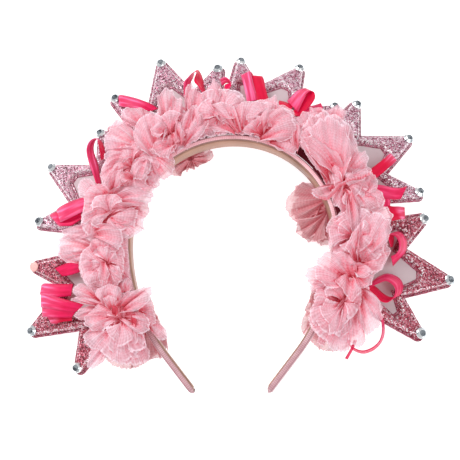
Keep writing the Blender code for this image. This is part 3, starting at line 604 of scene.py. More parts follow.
class Finish:
    """A Principled material with constant values, to which varying ones are linked."""

    def __init__(self, name, **values):
        self.material = bpy.data.materials.new(name)
        self.material.use_nodes = True
        self.nodes = self.material.node_tree.nodes
        self.links = self.material.node_tree.links
        self.shader = self.nodes["Principled BSDF"]
        for name, value in values.items():
            self.keep(name.replace("_", " ").title().replace("Ior", "IOR"), value)

    def keep(self, socket, value):
        """Set a constant value."""
        self.shader.inputs[socket].default_value = value

    def feed(self, socket, value):
        """Link a varying value."""
        self.links.new(value.socket, self.shader.inputs[socket])

    def node(self, kind, settings, sockets, output=0):
        made = self.nodes.new("ShaderNode" + kind)
        for name, value in settings.items():
            if name == "stops":
                stops = made.color_ramp.elements
                for number, (place, colour) in enumerate(value):
                    stop = stops[number] if number < 2 else stops.new(place)
                    stop.position = place
                    stop.color = colour
            else:
                setattr(made, name, value)
        for name, value in sockets.items():
            if isinstance(value, Value):
                self.links.new(value.socket, made.inputs[name])
            else:
                made.inputs[name].default_value = value
        return Value(self, made.outputs[output])

    def place(self):
        return self.node("TexCoord", {}, {}, "Object")

    def surface(self):
        return self.node("UVMap", {}, {}, "UV")

    def facing(self):
        return self.node("NewGeometry", {}, {}, "Normal")

    def layer(self, name):
        """Value kept in the mesh under this name."""
        return self.node("Attribute", {"attribute_name": name}, {}, "Fac")

    def parts(self, vector):
        split = self.node("SeparateXYZ", {}, {"Vector": vector}, "X")
        return [Value(self, split.socket.node.outputs[axis]) for axis in "XYZ"]

    def vector(self, along, across, depth=0.0):
        return self.node("CombineXYZ", {}, {"X": along, "Y": across, "Z": depth})

    def turned(self, operation, *values):
        return self.node("VectorMath", {"operation": operation}, dict(enumerate(values)))

    def cloud(self, scale, detail=2.0, vector=None):
        return self.node("TexNoise", {}, {"Vector": vector or self.place(), "Scale": scale, "Detail": detail})

    def cells(self, size):
        """Random colour in each cell of about this size."""
        return self.node("TexVoronoi", {}, {"Vector": self.place(), "Scale": 1 / size}, "Color")

    def ramp(self, share, stops):
        return self.node("ValToRGB", {"stops": stops}, {"Fac": share}, "Color")

    def mixed(self, share, first, second):
        """Colour that goes from the first to the second with the share."""
        return self.node("Mix", {"data_type": "RGBA"}, {0: share, 6: first, 7: second}, 2)

    def paint(self, share, first, second):
        self.feed("Base Color", self.mixed(share, first, second))

    def glow(self, share, first, second, strength):
        self.feed("Emission Color", self.mixed(share, first, second))
        self.keep("Emission Strength", strength)

    def bump(self, height, distance, strength):
        sockets = {"Height": height, "Distance": distance, "Strength": strength}
        self.feed("Normal", self.node("Bump", {}, sockets))


def satin_finish():
    """Dusky pink satin with fine ribs across the band, deeper at its outer edge, with painted shade on its
    legs and a painted glow where it faces up.
    """
    finish = Finish("dusky pink satin", roughness=0.36, sheen_weight=0.2)
    along, across, _ = finish.parts(finish.surface())
    ribs = along.wave(RIB_PITCH) * 0.5 + 0.5
    # painted shade: the legs are darker than the top of the arch, which catches more light
    leg = abs(along - LEG_END).share(0.08, SIDE_END)
    corner = abs(across - OUTER_CORNER).share(0.7, 0.3)
    tone = ribs * 0.4 + finish.cloud(180.0) * 0.6 - leg * 0.28 - corner * 0.9
    finish.paint(tone, (0.42, 0.20, 0.23, 1), (0.92, 0.63, 0.67, 1))
    # painted light: the satin glows where it faces up, off the legs and the outer edge, to brighten the
    # band's top in the tulle's shadow
    _, _, ahead = finish.parts(finish.facing())
    finish.glow((ahead - leg - corner).share(0.2, 0.9), BLACK, (0.80, 0.43, 0.48, 1), 0.40)
    finish.bump(ribs, 0.0001, 0.5)
    return finish.material


def gap_shadow_finish():
    """Painted shadow: a brown line in the gap where the satin cover meets the lining."""
    finish = Finish("brown seam", roughness=0.6)
    finish.paint(finish.cloud(500.0), (0.26, 0.13, 0.11, 1), (0.50, 0.30, 0.27, 1))
    return finish.material


def lining_finish():
    """Gold-beige satin lining with lengthwise threads."""
    finish = Finish("gold beige lining", roughness=0.32, metallic=0.3)
    _, across, _ = finish.parts(finish.surface())
    threads = across.wave(1 / LINING_THREADS) * 0.5 + 0.5
    tone = (finish.cloud(35.0) * 2.2 - 0.6) * 0.8 + threads * 0.2
    finish.paint(tone, (0.24, 0.11, 0.070, 1), (0.58, 0.33, 0.24, 1))
    finish.bump(threads, 0.0001, 0.3)
    return finish.material


def glitter_finish(name, stops):
    """Glitter cloth: flakes of random colour and tilt, the palest painted sparkle, with a dark cut edge and
    stitch line, a painted highlight on the pad's slope and painted shade on its flat top.
    """
    finish = Finish(name, roughness=0.3, metallic=0.35)
    flakes = finish.cells(FLAKE)
    shade, tilt, share = finish.parts(flakes)
    edge = finish.layer("edge")
    seam = (edge < CUT_EDGE) + edge.between(*STITCH_LINE) * 0.6
    # painted light: lighter on the pad's slope, which catches the light, and darker on its flat top
    painted_pad_light = edge.between(*PAD_SLOPE) * 0.16 - (edge > PAD_TOP) * 0.10
    dark = finish.mixed(share, (0.20, 0.02, 0.05, 1), (0.55, 0.12, 0.2, 1))
    finish.paint(seam * 0.85, finish.ramp(shade + painted_pad_light, stops), dark)
    lean = finish.turned("SUBTRACT", flakes, (0.5, 0.5, 0.5))
    leant = finish.turned("MULTIPLY_ADD", lean, (1.2, 1.2, 1.2), finish.facing())
    finish.feed("Normal", finish.turned("NORMALIZE", leant))
    finish.feed("Roughness", tilt * 0.3 + 0.15)
    return finish.material


def film_finish():
    """Smooth mauve-pink film."""
    finish = Finish("mauve film", roughness=0.16, coat_weight=0.3)
    finish.paint(finish.cloud(60.0), (0.52, 0.38, 0.41, 1), (0.70, 0.58, 0.61, 1))
    finish.bump(finish.cloud(90.0), 0.0006, 0.4)
    return finish.material


def stone_finish(name, dark, pale):
    """Foil-backed cut stone whose facets differ in tone at random, as painted reflections."""
    finish = Finish(name, roughness=0.08, metallic=0.85)
    shade, _, _ = finish.parts(finish.cells(FACET))
    finish.paint(shade, dark, pale)
    return finish.material


def thread_finish():
    """Rose sewing thread."""
    finish = Finish("rose thread", roughness=0.6)
    finish.paint(finish.cloud(900.0), (0.35, 0.03, 0.08, 1), (0.62, 0.14, 0.22, 1))
    return finish.material


def spot_finish():
    """Salmon glue."""
    finish = Finish("salmon spot", roughness=0.55)
    finish.paint(finish.cloud(600.0), (0.80, 0.33, 0.32, 1), (0.98, 0.62, 0.58, 1))
    finish.bump(finish.cloud(900.0), 0.0003, 0.6)
    return finish.material


def ribbon_finish(name, dark, bright):
    """Satin ribbon with lengthwise threads and a woven edge, with painted sheen streaks, painted paler pink
    highlights where it catches the light and a faint painted red glow.
    """
    finish = Finish(name, roughness=0.30, specular_ior_level=0.15)
    # painted light: a faint red glow that lifts and reddens the ribbon's shade
    finish.keep("Emission Color", (0.80, 0.006, 0.09, 1))
    finish.keep("Emission Strength", 0.19)
    along, across, _ = finish.parts(finish.surface())
    threads = across.wave(THREAD_PITCH) * 0.5 + 0.5
    selvedge = (across < SELVEDGE) + (across > RIBBON_WIDTH - SELVEDGE)
    painted_shine = finish.layer("painted_shine")
    # painted sheen: lengthwise streaks of lighter and darker pink, as satin catches the light
    painted_sheen_streak = finish.cloud(160.0, 1.0, finish.vector(along * 0.25, across * 3.0))
    tone = painted_sheen_streak * 2.4 + finish.cloud(220.0) * 0.6 + threads * 0.1 - 0.95
    # painted highlight: paler pink where the ribbon's shine layer is high, streaked, and along its woven
    # edges
    painted_highlight = painted_shine ** 1.2 * (painted_sheen_streak.share(0.46, 0.58) * 0.50 + 0.15) + selvedge * painted_shine * 0.15
    finish.paint(painted_highlight, finish.mixed(tone, dark, bright), (1.0, 0.42, 0.76, 1))
    finish.bump(threads + selvedge * 0.8, 0.00006, 0.4)
    return finish.material


def tulle_finish(name, stops, rim_colour, painted_glow_colour=(0.42, 0.03, 0.05, 1)):
    """Net with painted shade in its gathers, creases and hollows, painted highlights on fold crests, a
    painted red glow in its shade, and a frayed rim, paler partly for its single layer and partly as painted
    highlight.
    """
    finish = Finish(name, roughness=0.8, specular_ior_level=0.2, sheen_weight=0.1, sheen_roughness=0.5)
    along, across, _ = finish.parts(finish.surface())
    spread, edge, fold, tone, shade = map(finish.layer, TULLE_LAYERS)
    net = along.wave(MESH_WIDTH) * 0.50 + across.wave(MESH_HEIGHT) * 0.32 + 0.5
    lengthwise = finish.vector(along, across * 0.16, tone * 0.02)
    creases = finish.cloud(1000.0, 2.0, lengthwise) - 0.5
    flow = finish.cloud(420.0, 1.5, lengthwise)
    line = abs(flow - 0.5).share(0.020, 0.0)
    speck, _, _ = finish.parts(finish.cells(SPECK))
    # painted light and shade: paler towards the rim and on fold crests and crease lines, darker towards the
    # gather and in the creases and the shaded hollows, besides random tone, specks and the net
    pale = spread ** 0.6 * 0.46 + fold * 0.09 + fold.share(0.70, 1.05) * 0.26 + line * 0.22
    pale += tone * 0.20 + (finish.cloud(110.0, 3.0) - 0.5) * 0.40 + (speck - 0.5) * 0.20
    pale += creases * 0.55 - net * 0.12 - shade * 0.26 + 0.27
    colour = finish.mixed(shade.share(0.66, 1.0) * 0.9, finish.ramp(pale, stops), stops[0][1])
    # the rim is paler: partly its single thin layer, partly a painted highlight
    rim = (edge + creases * 0.15).share(0.92, 0.97)
    finish.paint(rim * 0.75, colour, rim_colour)
    frayed = edge + (finish.cloud(1000.0) - 0.5) * 0.14
    cover = 1.0 - spread * 0.10 - spread ** 4.0 * 0.34 + rim * 0.28 - net * 0.12 + shade * 0.15
    finish.feed("Alpha", (frayed < 0.99) * cover)
    # painted light: a deep red glow where the net is darkest and most shaded, to lift and redden its shade
    finish.glow(pale * 1.4 - shade * 0.6, painted_glow_colour, BLACK, 0.32)
    finish.bump(net * 0.12 + creases * 1.2 + flow * 2.5 + line * 0.3, 0.0005, 0.6)
    return finish.material


def hoop(s):
    """Point, tangent and outward normal of the band's centre line at the length s from the top."""
    side = -1.0 if s < 0 else 1.0
    along = abs(s)
    turn = min(along, TOP_END) / TOP_RADIUS
    point = Vector((TOP_RADIUS * sin(turn), TOP_RADIUS * cos(turn), 0.0))
    if along > TOP_END:
        bend = (min(along, SIDE_END) - TOP_END) / SIDE_RADIUS
        point += SIDE_RADIUS * Vector((cos(bend) - 1.0, -sin(bend), 0.0))
        turn += bend
    tangent = Vector((cos(turn), -sin(turn), 0.0))
    if along > SIDE_END:
        point += tangent * (along - SIDE_END)
    normal = Vector((sin(turn), cos(turn), 0.0))
    point.x *= side
    tangent.y *= side
    normal.x *= side
    return point + Vector((HOOP_X, HOOP_Y, 0.0)), tangent, normal


def on_hoop(s, out, height):
    point, _, normal = hoop(s)
    return point + normal * out + Vector((0.0, 0.0, height))


def seen(pixel, height, seat=Matrix()):
    """Point at this height over the seat's plane that the photograph shows at the pixel.

    It is in the seat's own millimetres, to a tenth.
    """
    x, y = pixel
    spot = CAMERA_AIM + (RIGHT * (x - PHOTO_MIDDLE) + UP * (PHOTO_MIDDLE - y)) * PIXEL
    inverse = seat.inverted()
    start = inverse @ CAMERA_PLACE
    ray = inverse @ spot - start
    point = start + ray * ((height / 1000 - start.z) / ray.z)
    return [round(value * 1000, 1) for value in point]


def mesh_of(name, bm, materials=()):
    """Mesh of the bmesh, which is freed."""
    mesh = bpy.data.meshes.new(name)
    bm.to_mesh(mesh)
    bm.free()
    for material in materials:
        mesh.materials.append(material)
    return mesh


def placed(name, data):
    """Object with this data, in the scene."""
    made = bpy.data.objects.new(name, data)
    bpy.context.scene.collection.objects.link(made)
    return made


def finished(name, bm, materials, node, smooth=True):
    """Piece from a bmesh that rides on the part and replaces its CAD node."""
    mesh = mesh_of(name, bm, materials)
    if smooth:
        mesh.shade_smooth()
    else:
        mesh.shade_flat()
    piece = placed(name, mesh)
    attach(piece, "root")
    if node:
        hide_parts(node)
    return piece


def flat_sheet(columns, rows, width, height):
    """Grid between -0.5 and 0.5, with the UV map of a flat sheet of this width and height."""
    bm = bmesh.new()
    bmesh.ops.create_grid(bm, x_segments=columns, y_segments=rows, size=0.5)
    layer = bm.loops.layers.uv.verify()
    for face in bm.faces:
        for loop in face.loops:
            loop[layer].uv = ((loop.vert.co.x + 0.5) * width, (loop.vert.co.y + 0.5) * height)
    return bm


def add_layers(bm, names):
    return [bm.verts.layers.float.new(name) for name in names]


def joined(sheets, names):
    """One bmesh of the sheets, with their layers of these names."""
    whole = bmesh.new()
    add_layers(whole, names)
    for bm in sheets:
        mesh = mesh_of("sheet", bm)
        whole.from_mesh(mesh)
        bpy.data.meshes.remove(mesh)
    return whole


def tapered(s, end, length):
    """Share of the full size at s, in a round end of this length."""
    near = max(abs(s) - (end - length), 0.0) / length
    return sqrt(max(1.0 - near * near, 0.0))


def band_strip(section, end, rounding, seam=(-1, 99)):
    """Closed strip along the hoop with this section of (out, height) points and rounded leg tips.

    The sides of the section outside the seam's two numbers take the second material, on the cover
    the painted shadow in the gap by the lining. The UV map has metres along the strip and the
    number of the section's point round it.
    """
    bm = flat_sheet(BAND_STEPS, len(section), 2 * end, len(section))
    for face in bm.faces:
        spot = (face.calc_center_median().y + 0.5) * len(section)
        face.material_index = int(not seam[0] < spot < seam[1])
    for vert in bm.verts:
        s = end * vert.co.x * 2
        thickness = max(tapered(s, end, TIP_THINNING), 0.15)
        width = max(tapered(s, end, rounding), 0.02)
        out, height = section[round((vert.co.y + 0.5) * len(section)) % len(section)]
        vert.co = on_hoop(s, out * thickness, BAND_HEIGHT + height * width)
    bmesh.ops.remove_doubles(bm, verts=bm.verts, dist=0.00001)
    bmesh.ops.recalc_face_normals(bm, faces=bm.faces)
    return bm


def build_band():
    """Satin cover round the band and the gold lining on its inner face."""
    half = BAND_WIDTH / 2
    face = BAND_FACE
    cover = [
        (-face, -half + 0.0012), (-face, -half + 0.0006), (-face + 0.0004, -half + 0.0001),
        (-face + 0.0010, -half), (face - 0.0010, -half), (face - 0.0004, -half + 0.0001),
        (face, -half + 0.0006), (face + 0.0001, -half + 0.003),
    ]
    cover += [(out, -height) for out, height in reversed(cover)]
    cover += [(-face + 0.0009, half - 0.0013), (-face + 0.0009, -half + 0.0013)]
    # the cover's sides next to the lining take the painted gap shadow
    bm = band_strip(cover, LEG_END, TIP_ROUNDING, seam=(2, 13))
    band = finished("satin_band", bm, [satin_finish(), gap_shadow_finish()], "satin_cover")
    edge = half - LINING_INSET
    lining = [
        (-face - 0.0003, -edge + 0.0001), (-face - 0.0006, -edge + 0.0006),
        (-face - 0.0006, edge - 0.0006), (-face - 0.0003, edge - 0.0001),
        (-face + 0.0006, edge), (-face + 0.0006, -edge),
    ]
    bm = band_strip(lining, LEG_END - LINING_INSET, TIP_ROUNDING - 0.0013)
    strip = finished("gold_lining", bm, [lining_finish()], "hoop_lining")


def crown_seat(crown, key):
    """World matrix of a crown's plane: u along the band, v outwards, w to the front."""
    point, tangent, normal = hoop(crown.s)
    lean = radians(crown.lean)
    turn = radians(crown.turn)
    along = tangent * cos(turn) + normal * sin(turn)
    level = normal * cos(turn) - tangent * sin(turn)
    out = level * cos(lean) - Vector((0.0, 0.0, sin(lean)))
    height = (MID_TIP.y + TIP_RADIUS) * sin(lean)
    if key == RAISED_CROWN:
        height = RAISED_HEIGHT
    matrix = Matrix((along, out, along.cross(out))).transposed().to_4x4()
    matrix.translation = point + normal * BAND_FACE + Vector((0.0, 0.0, height))
    return matrix


def low_bow_seat():
    """World matrix of the plane of the bow that hangs from the band itself."""
    point, tangent, normal = hoop(LOW_BOW_S)
    matrix = Matrix((tangent, normal, tangent.cross(normal))).transposed().to_4x4()
    matrix.translation = point + normal * BAND_FACE + Vector((0.0, 0.0, LOW_BOW_HEIGHT))
    return matrix


def tip_arc(centre, before, after):
    """Points round a crown tip, tangent to the edges that come from before and go to after."""
    ends = []
    for corner, side in ((before, -1.0), (after, 1.0)):
        span = corner - centre
        ends.append(atan2(span.y, span.x) - side * acos(TIP_RADIUS / span.length))
    start, stop = ends
    sweep = (stop - start) % tau
    turns = [start + sweep * step / TIP_STEPS for step in range(TIP_STEPS + 1)]
    return [centre + TIP_RADIUS * Vector((cos(turn), sin(turn))) for turn in turns]


def mirrored(points):
    """The points and then their mirror images, as a loop."""
    return [Vector(point) for point in points] + [Vector((-x, y)) for x, y in reversed(points)]


def crown_outline(crown):
    """Three-pointed outline with a tab whose foot runs along the band."""
    lean = radians(crown.lean)
    turn = radians(crown.turn)
    foot = [
        Vector((u, (GAP - u * sin(turn)) / (cos(lean) * cos(turn)))) for u in (-TAB_WIDTH / 2, TAB_WIDTH / 2)
    ]
    right = [Vector((TAB_WIDTH / 2, BASE.y)), BASE, SHOULDER]
    right += tip_arc(SIDE_TIP, SHOULDER, VALLEY) + [VALLEY]
    left = [Vector((-x, y)) for x, y in reversed(right)]
    return foot + right + tip_arc(MID_TIP, VALLEY, left[0]) + left


def inset_loop(points, distance):
    """The loop moved inwards by the distance, corner by corner."""
    moved = []
    for before, point, after in zip(points[-1:] + points[:-1], points, points[1:] + points[:1]):
        first = (point - before).normalized()
        second = (after - point).normalized()
        inward = Vector((-first.y - second.y, first.x + second.x)).normalized()
        moved.append(point + inward * distance / inward.dot(Vector((-first.y, first.x))))
    return moved


def finer_loop(points, step):
    """The loop with extra points, so that none of its sides is much longer than the step."""
    finer = []
    for start, stop in zip(points, points[1:] + points[:1]):
        count = max(round((stop - start).length / step), 1)
        finer += [start.lerp(stop, number / count) for number in range(count)]
    return finer


def add_loop(bm, points, height):
    """Closed loop of edges at the height."""
    verts = [bm.verts.new((point.x, point.y, height)) for point in points]
    return [bm.edges.new(pair) for pair in zip(verts, verts[1:] + verts[:1])]


def padded_shape(outline, holes, profile):
    """Closed bmesh of an outline with holes, whose edges rise by the profile to a flat top."""
    bm = bmesh.new()
    edge = bm.verts.layers.float.new("edge")
    bottom, top = [], []
    for side, loop in [(1.0, outline)] + [(-1.0, hole) for hole in holes]:
        rings = []
        for distance, height in profile:
            rings.append(add_loop(bm, inset_loop(loop, side * distance), height))
            for line in rings[-1]:
                for vert in line.verts:
                    vert[edge] = distance
        for lower, upper in zip(rings, rings[1:]):
            bmesh.ops.bridge_loops(bm, edges=lower + upper)
        bottom += rings[0]
        top += rings[-1]
    for ring in (bottom, top):
        bmesh.ops.triangle_fill(bm, edges=ring, use_beauty=True)
    bmesh.ops.recalc_face_normals(bm, faces=bm.faces)
    return bm


def build_padding(key, outline, seat, finish):
    """Padded glitter crown with a slightly uneven edge."""
    loops = [finer_loop(loop, OUTLINE_STEP) for loop in (outline, mirrored(WINDOW))]
    bm = padded_shape(loops[0], loops[1:], PAD_PROFILE)
    for vert in bm.verts:
        rough = noise.noise_vector(Vector((vert.co.x * 700, vert.co.y * 700, 3.7)))
        vert.co += Vector((rough.x, rough.y, 0.0)) * 0.00018
    bm.transform(seat)
    piece = finished("padded_crown_" + key, bm, [finish], "crown_" + key)


def build_film(key, seat, finish):
    """Film in a crown's window."""
    bm = padded_shape(inset_loop(mirrored(WINDOW), -FILM_OVERLAP), [], FILM_PROFILE)
    bm.transform(seat)
    finished("crown_film_" + key, bm, [finish], "window_" + key)


def build_stitches(key, loops, seat, finish):
    """Short threads along the stitch lines of a crown."""
    bm = bmesh.new()
    for points in loops:
        for start, stop in zip(points, points[1:] + points[:1]):
            span = stop - start
            if span.length < SHORTEST_STITCHED:
                continue
            count = max(round(span.length / STITCH_STEP), 1)
            for number in range(count):
                middle = start + span * (number + 0.5) / count
                made = bmesh.ops.create_uvsphere(bm, u_segments=6, v_segments=4, radius=0.5)["verts"]
                size = (min(STITCH_LENGTH, span.length * 0.7), *STITCH_GIRTH)
                bmesh.ops.scale(bm, verts=made, vec=size)
                bmesh.ops.rotate(bm, verts=made, matrix=Matrix.Rotation(atan2(span.y, span.x), 3, "Z"))
                bmesh.ops.translate(bm, verts=made, vec=(middle.x, middle.y, RIM_HEIGHT - 0.0001))
    bm.transform(seat)
    finished("stitches_" + key, bm, [finish], None)


def build_stone(name, node, spot, seat, finishes):
    """Round stone with a table, two rings of facets and a foil rim."""
    bm = bmesh.new()
    bmesh.ops.create_cone(
        bm, cap_ends=True, segments=16, radius1=STONE_RADIUS, radius2=STONE_RADIUS, depth=GIRDLE_HEIGHT
    )
    top = [face for face in bm.faces if face.normal.z > 0.99]
    for step, rise in STONE_STEPS:
        bmesh.ops.inset_region(bm, faces=top, thickness=step, depth=rise, use_even_offset=True)
    for face in top:
        face.material_index = 1
    bmesh.ops.translate(bm, verts=bm.verts, vec=(spot.x, spot.y, PAD_HEIGHT + GAP + GIRDLE_HEIGHT / 2))
    bm.transform(seat)
    finished(name, bm, finishes, node, smooth=False)


def build_bare_tip(spot, seat):
    """Salmon spot of glue where a stone is missing."""
    bm = bmesh.new()
    bmesh.ops.create_uvsphere(bm, u_segments=24, v_segments=12, radius=SPOT_RADIUS)
    for vert in bm.verts:
        swell = 1.0 + 0.12 * noise.noise(vert.co * 700)
        vert.co = Vector((vert.co.x * swell, vert.co.y * swell, vert.co.z * 0.25))
    bmesh.ops.translate(bm, verts=bm.verts, vec=(spot.x, spot.y, PAD_HEIGHT + GAP))
    bm.transform(seat)
    finished("bare_tip", bm, [spot_finish()], "bare_tip_a_right")


def build_crowns():
    """Padded glitter crowns with their film, stitches and stones."""
    glitters = {
        # flake tones at random; the palest, up to white, are painted sparkle
        "glitter_silver": glitter_finish("silver pink glitter", (
            (0.0, (0.10, 0.012, 0.03, 1)), (0.22, (0.38, 0.10, 0.17, 1)), (0.50, (0.64, 0.32, 0.42, 1)),
            (0.76, (0.84, 0.62, 0.72, 1)), (0.90, (1.0, 0.98, 1.0, 1)),
        )),
        "glitter_rose": glitter_finish("deep rose glitter", (
            (0.0, (0.09, 0.008, 0.02, 1)), (0.26, (0.36, 0.03, 0.06, 1)), (0.58, (0.54, 0.11, 0.165, 1)),
            (0.82, (0.74, 0.38, 0.46, 1)), (0.94, (1.0, 0.92, 0.96, 1)),
        )),
    }
    film = film_finish()
    thread = thread_finish()
    # painted reflections: facets in random pale tones and a dark table
    stones_with_painted_reflections = [
        stone_finish("stone facets", (0.45, 0.50, 0.54, 1), (1.0, 1.0, 1.0, 1)),
        stone_finish("stone table", (0.06, 0.07, 0.09, 1), (0.42, 0.46, 0.50, 1)),
    ]
    for key, crown in CROWNS.items():
        seat = crown_seat(crown, key)
        outline = crown_outline(crown)
        build_padding(key, outline, seat, glitters[crown.slot])
        build_film(key, seat, film)
        stitch_lines = [inset_loop(outline, STITCH_INSET), inset_loop(mirrored(WINDOW), -STITCH_INSET)]
        build_stitches(key, stitch_lines, seat, thread)
        for side, tip in TIPS.items():
            if (key, side) == BARE_TIP:
                build_bare_tip(tip, seat)
            else:
                build_stone(f"cut_stone_{key}_{side}", f"stone_{key}_{side}", tip, seat, stones_with_painted_reflections)


def smooth_line(points, share, straight=0.0):
    """Point at this share of a smooth line through the points, or of one with straighter sides."""
    spot = min(max(share, 0.0), 1.0) * (len(points) - 1)
    number = min(int(spot), len(points) - 2)
    part = spot - number
    before, start, stop, after = [
        points[min(max(number + step, 0), len(points) - 1)] for step in (-1, 0, 1, 2)
    ]
    bend = 2 * before - 5 * start + 4 * stop - after
    last = 3 * (start - stop) + after - before
    smooth = start + 0.5 * part * (stop - before + part * (bend + part * last))
    return smooth.lerp(start.lerp(stop, part), straight)


def ribbon_strip(stations, seat):
    """Bmesh of one thin ribbon through its stations, in the seat's own space."""
    line = [
        Vector((*seen((x, y), height, seat), *seen((far_x, far_y), far_height, seat), painted_shine))
        for x, y, height, far_x, far_y, far_height, painted_shine in stations
    ]
    length = sum((Vector(stop[:3]) - Vector(start[:3])).length for start, stop in zip(line, line[1:])) / 1000
    bm = flat_sheet(10 * (len(line) - 1), 4, length, RIBBON_WIDTH)
    painted_shine = bm.verts.layers.float.new("painted_shine")
    for vert in bm.verts:
        spot = smooth_line(line, vert.co.x + 0.5)
        vert[painted_shine] = spot[6]
        vert.co = Vector(spot[:3]).lerp(Vector(spot[3:6]), vert.co.y + 0.5) / 1000
    return bm


def build_bows():
    """Hot pink satin ribbon bows."""
    # painted light: a lit copy of the ribbon finish for its front and a darker, redder shaded copy for its
    # back faces
    bright = ribbon_finish("hot pink ribbon", (0.44, 0.002, 0.030, 1), (0.80, 0.024, 0.13, 1))
    shaded = ribbon_finish("hot pink ribbon inside", (0.46, 0.003, 0.022, 1), (0.64, 0.008, 0.045, 1))
    for name, (key, strips) in RIBBONS.items():
        seat = low_bow_seat() if key == "low" else crown_seat(CROWNS[key], key)
        whole = joined([ribbon_strip(stations, seat) for stations in strips], ("painted_shine",))
        whole.transform(seat)
        total = sum(face.calc_area() for face in whole.faces) / RIBBON_WIDTH
        piece = finished("ribbon_" + name, whole, [bright, shaded], name)
        solid = piece.modifiers.new("cloth", "SOLIDIFY")
        solid.thickness = RIBBON_THICKNESS
        solid.offset = 0.0
        solid.material_offset = 1
        solid.material_offset_rim = 0
        RIBBON_WIDTH * total


def footprint(flower, gather, angle):
    """How far a flower reaches from its gather at this angle, out of the band or along it."""
    side = flower.half_width * SPREAD
    out = flower.out - gather if sin(angle) > 0 else flower.inward + gather
    shares = (abs(cos(angle)) / side) ** SQUARENESS + (abs(sin(angle)) / out) ** SQUARENESS
    return 1.0 / shares ** (1 / SQUARENESS)


def ridge(turn):
    """Wave between -1 and 1 with sharp crests and round hollows."""
    return 1.0 - 2.0 * abs(sin(turn / 2))


def shaped_petal(shape, room, seed):
    """Bmesh of one large petal: a fan of net from its gathered root to its rim line."""
    def chance(which):
        return noise.noise(Vector((seed * 2.31 + which * 1.7, which * 0.9, seed))) * 1.6

    root = Vector(seen(shape.root, shape.heights[0])[:2]) / 1000
    rim = [Vector(seen(pixel, shape.heights[2])[:2]) / 1000 for pixel in shape.rim]
    low, middle, high = [height / 1000 for height in shape.heights]
    centre = sum(rim, Vector((0.0, 0.0))) / len(rim)
    width = sum((stop - start).length for start, stop in zip(rim, rim[1:]))
    reach = (centre - root).length
    folds = max(width / FOLD_WIDTH, 2.0)
    phase = 6.0 * chance(1)
    tone = 0.5 + chance(2) / 2
    bm = flat_sheet(36, 20, width, reach)
    layers = add_layers(bm, TULLE_LAYERS)
    for vert in bm.verts:
        u, v = vert.co.x + 0.5, vert.co.y + 0.5
        drift = noise.noise(Vector((u * 1.7, v * 1.5, seed * 1.3)))
        wave = pi * folds * u + phase + 1.2 * drift
        pleat = ridge(3.3 * wave + 4.0 * drift) * shape.pleats
        ragged = 0.075 * noise.noise(Vector((u * folds * 2.2, seed, 3.0)))
        ragged += 0.035 * noise.noise(Vector((u * folds * 7.0, seed, 8.0)))
        crumple = noise.noise(Vector((u * width * 420, v * reach * 260, seed * 2.1)))
        edge = smooth_line(rim, u + 0.10 / folds * v * sin(wave), 0.85)
        start = root + (edge - centre) * shape.gather
        spot = start.lerp(edge, v ** 0.92 * (1.0 + ragged))
        height = low * (1 - v) ** 2 + (4 * middle - low - high) * (1 - v) * v + high * v * v
        height += FOLD_HEIGHT * shape.pleats * sin(pi * v ** 0.55) * ridge(wave)
        height += RIPPLE_HEIGHT * v * ridge(wave * 1.5 + 1.0) + PLEAT_HEIGHT * pleat * (1.0 - 0.5 * v)
        height += CRUMPLE_HEIGHT * (drift + v * crumple)
        height -= SIDE_DROP * (2 * u - 1) ** 4 * v + RIM_DROP * max(v - 0.88, 0.0) / 0.12
        fold = 0.6 * ridge(wave) * shape.pleats + 0.5 * pleat
        for layer, value in zip(layers, (v, max(v, abs(2 * u - 1)), fold, tone, shape.shade)):
            vert[layer] = value
        vert.co = (spot.x, spot.y, min(max(height, room[0]), room[1]))
    return bm


def petal(flower, ring, gather, room, number, seed):
    """Bmesh of one gathered petal: a fan of net with folds, a rounded rim and a curl."""
    def chance(which):
        return noise.noise(Vector((seed * 3.17 + which * 1.37, number * 2.71 + 0.4, which * 0.9))) * 1.6

    aim = tau * (number + 0.5 * chance(1)) / ring.petals + seed * 2.4
    share = ring.share * (1.0 + 0.10 * chance(2))
    width = radians(ring.width) * (1.0 + 0.2 * chance(3))
    phase = 6.0 * chance(4)
    bend = 0.25 * chance(5)
    rise = 0.0030 * chance(6)
    cup = 0.0024 * chance(7) + 0.0006
    depth = ring.depth * (1.0 + 0.3 * chance(8))
    tone = 0.5 + chance(9) / 2
    reach = footprint(flower, gather, aim) * share
    bm = flat_sheet(26, 15, reach * width * 2, reach * 1.15)
    layers = add_layers(bm, TULLE_LAYERS)
    for vert in bm.verts:
        u, v = vert.co.x * 2, vert.co.y + 0.5
        wave = pi * ring.folds * u + phase
        wave += 0.8 * noise.noise(Vector((u * 1.3, v * 1.5, seed + number)))
        soft = noise.noise_vector(Vector((u * 1.7 + seed, v * 2.1, number * 1.3))) * 0.0016 * v
        pleat = ridge(3.3 * wave + soft.x * 2000)
        fold = 0.6 * ridge(wave) + 0.5 * pleat
        for layer, value in zip(layers, (v, max(v, abs(u)), fold, tone, 0.0)):
            vert[layer] = value
        angle = aim + width * u * (0.55 + 0.45 * v) + bend * v * v
        angle += width / ring.folds * 0.42 * v * sin(wave)
        round_rim = 1.0 - 0.20 * abs(u) ** 2.5 + 0.05 * noise.noise(Vector((u * 3.0, seed, number * 1.9)))
        length = footprint(flower, gather, angle) * share * round_rim + ROOT_OVERLAP
        length = length * v ** 0.9 - ROOT_OVERLAP
        height = ring.low * (1.0 - v) ** 2 + ring.high * v * v + rise * v
        height += (4 * ring.middle - ring.low - ring.high) * (1.0 - v) * v
        height += depth * v ** 0.7 * ridge(wave) + cup * u * u * v
        height += soft.z + PLEAT_HEIGHT * pleat * (1.0 - 0.5 * v)
        s = flower.s + cos(angle) * length + soft.x
        out = gather + sin(angle) * length + soft.y
        vert.co = on_hoop(s, out, min(max(height, room[0]), room[1]))
    return bm


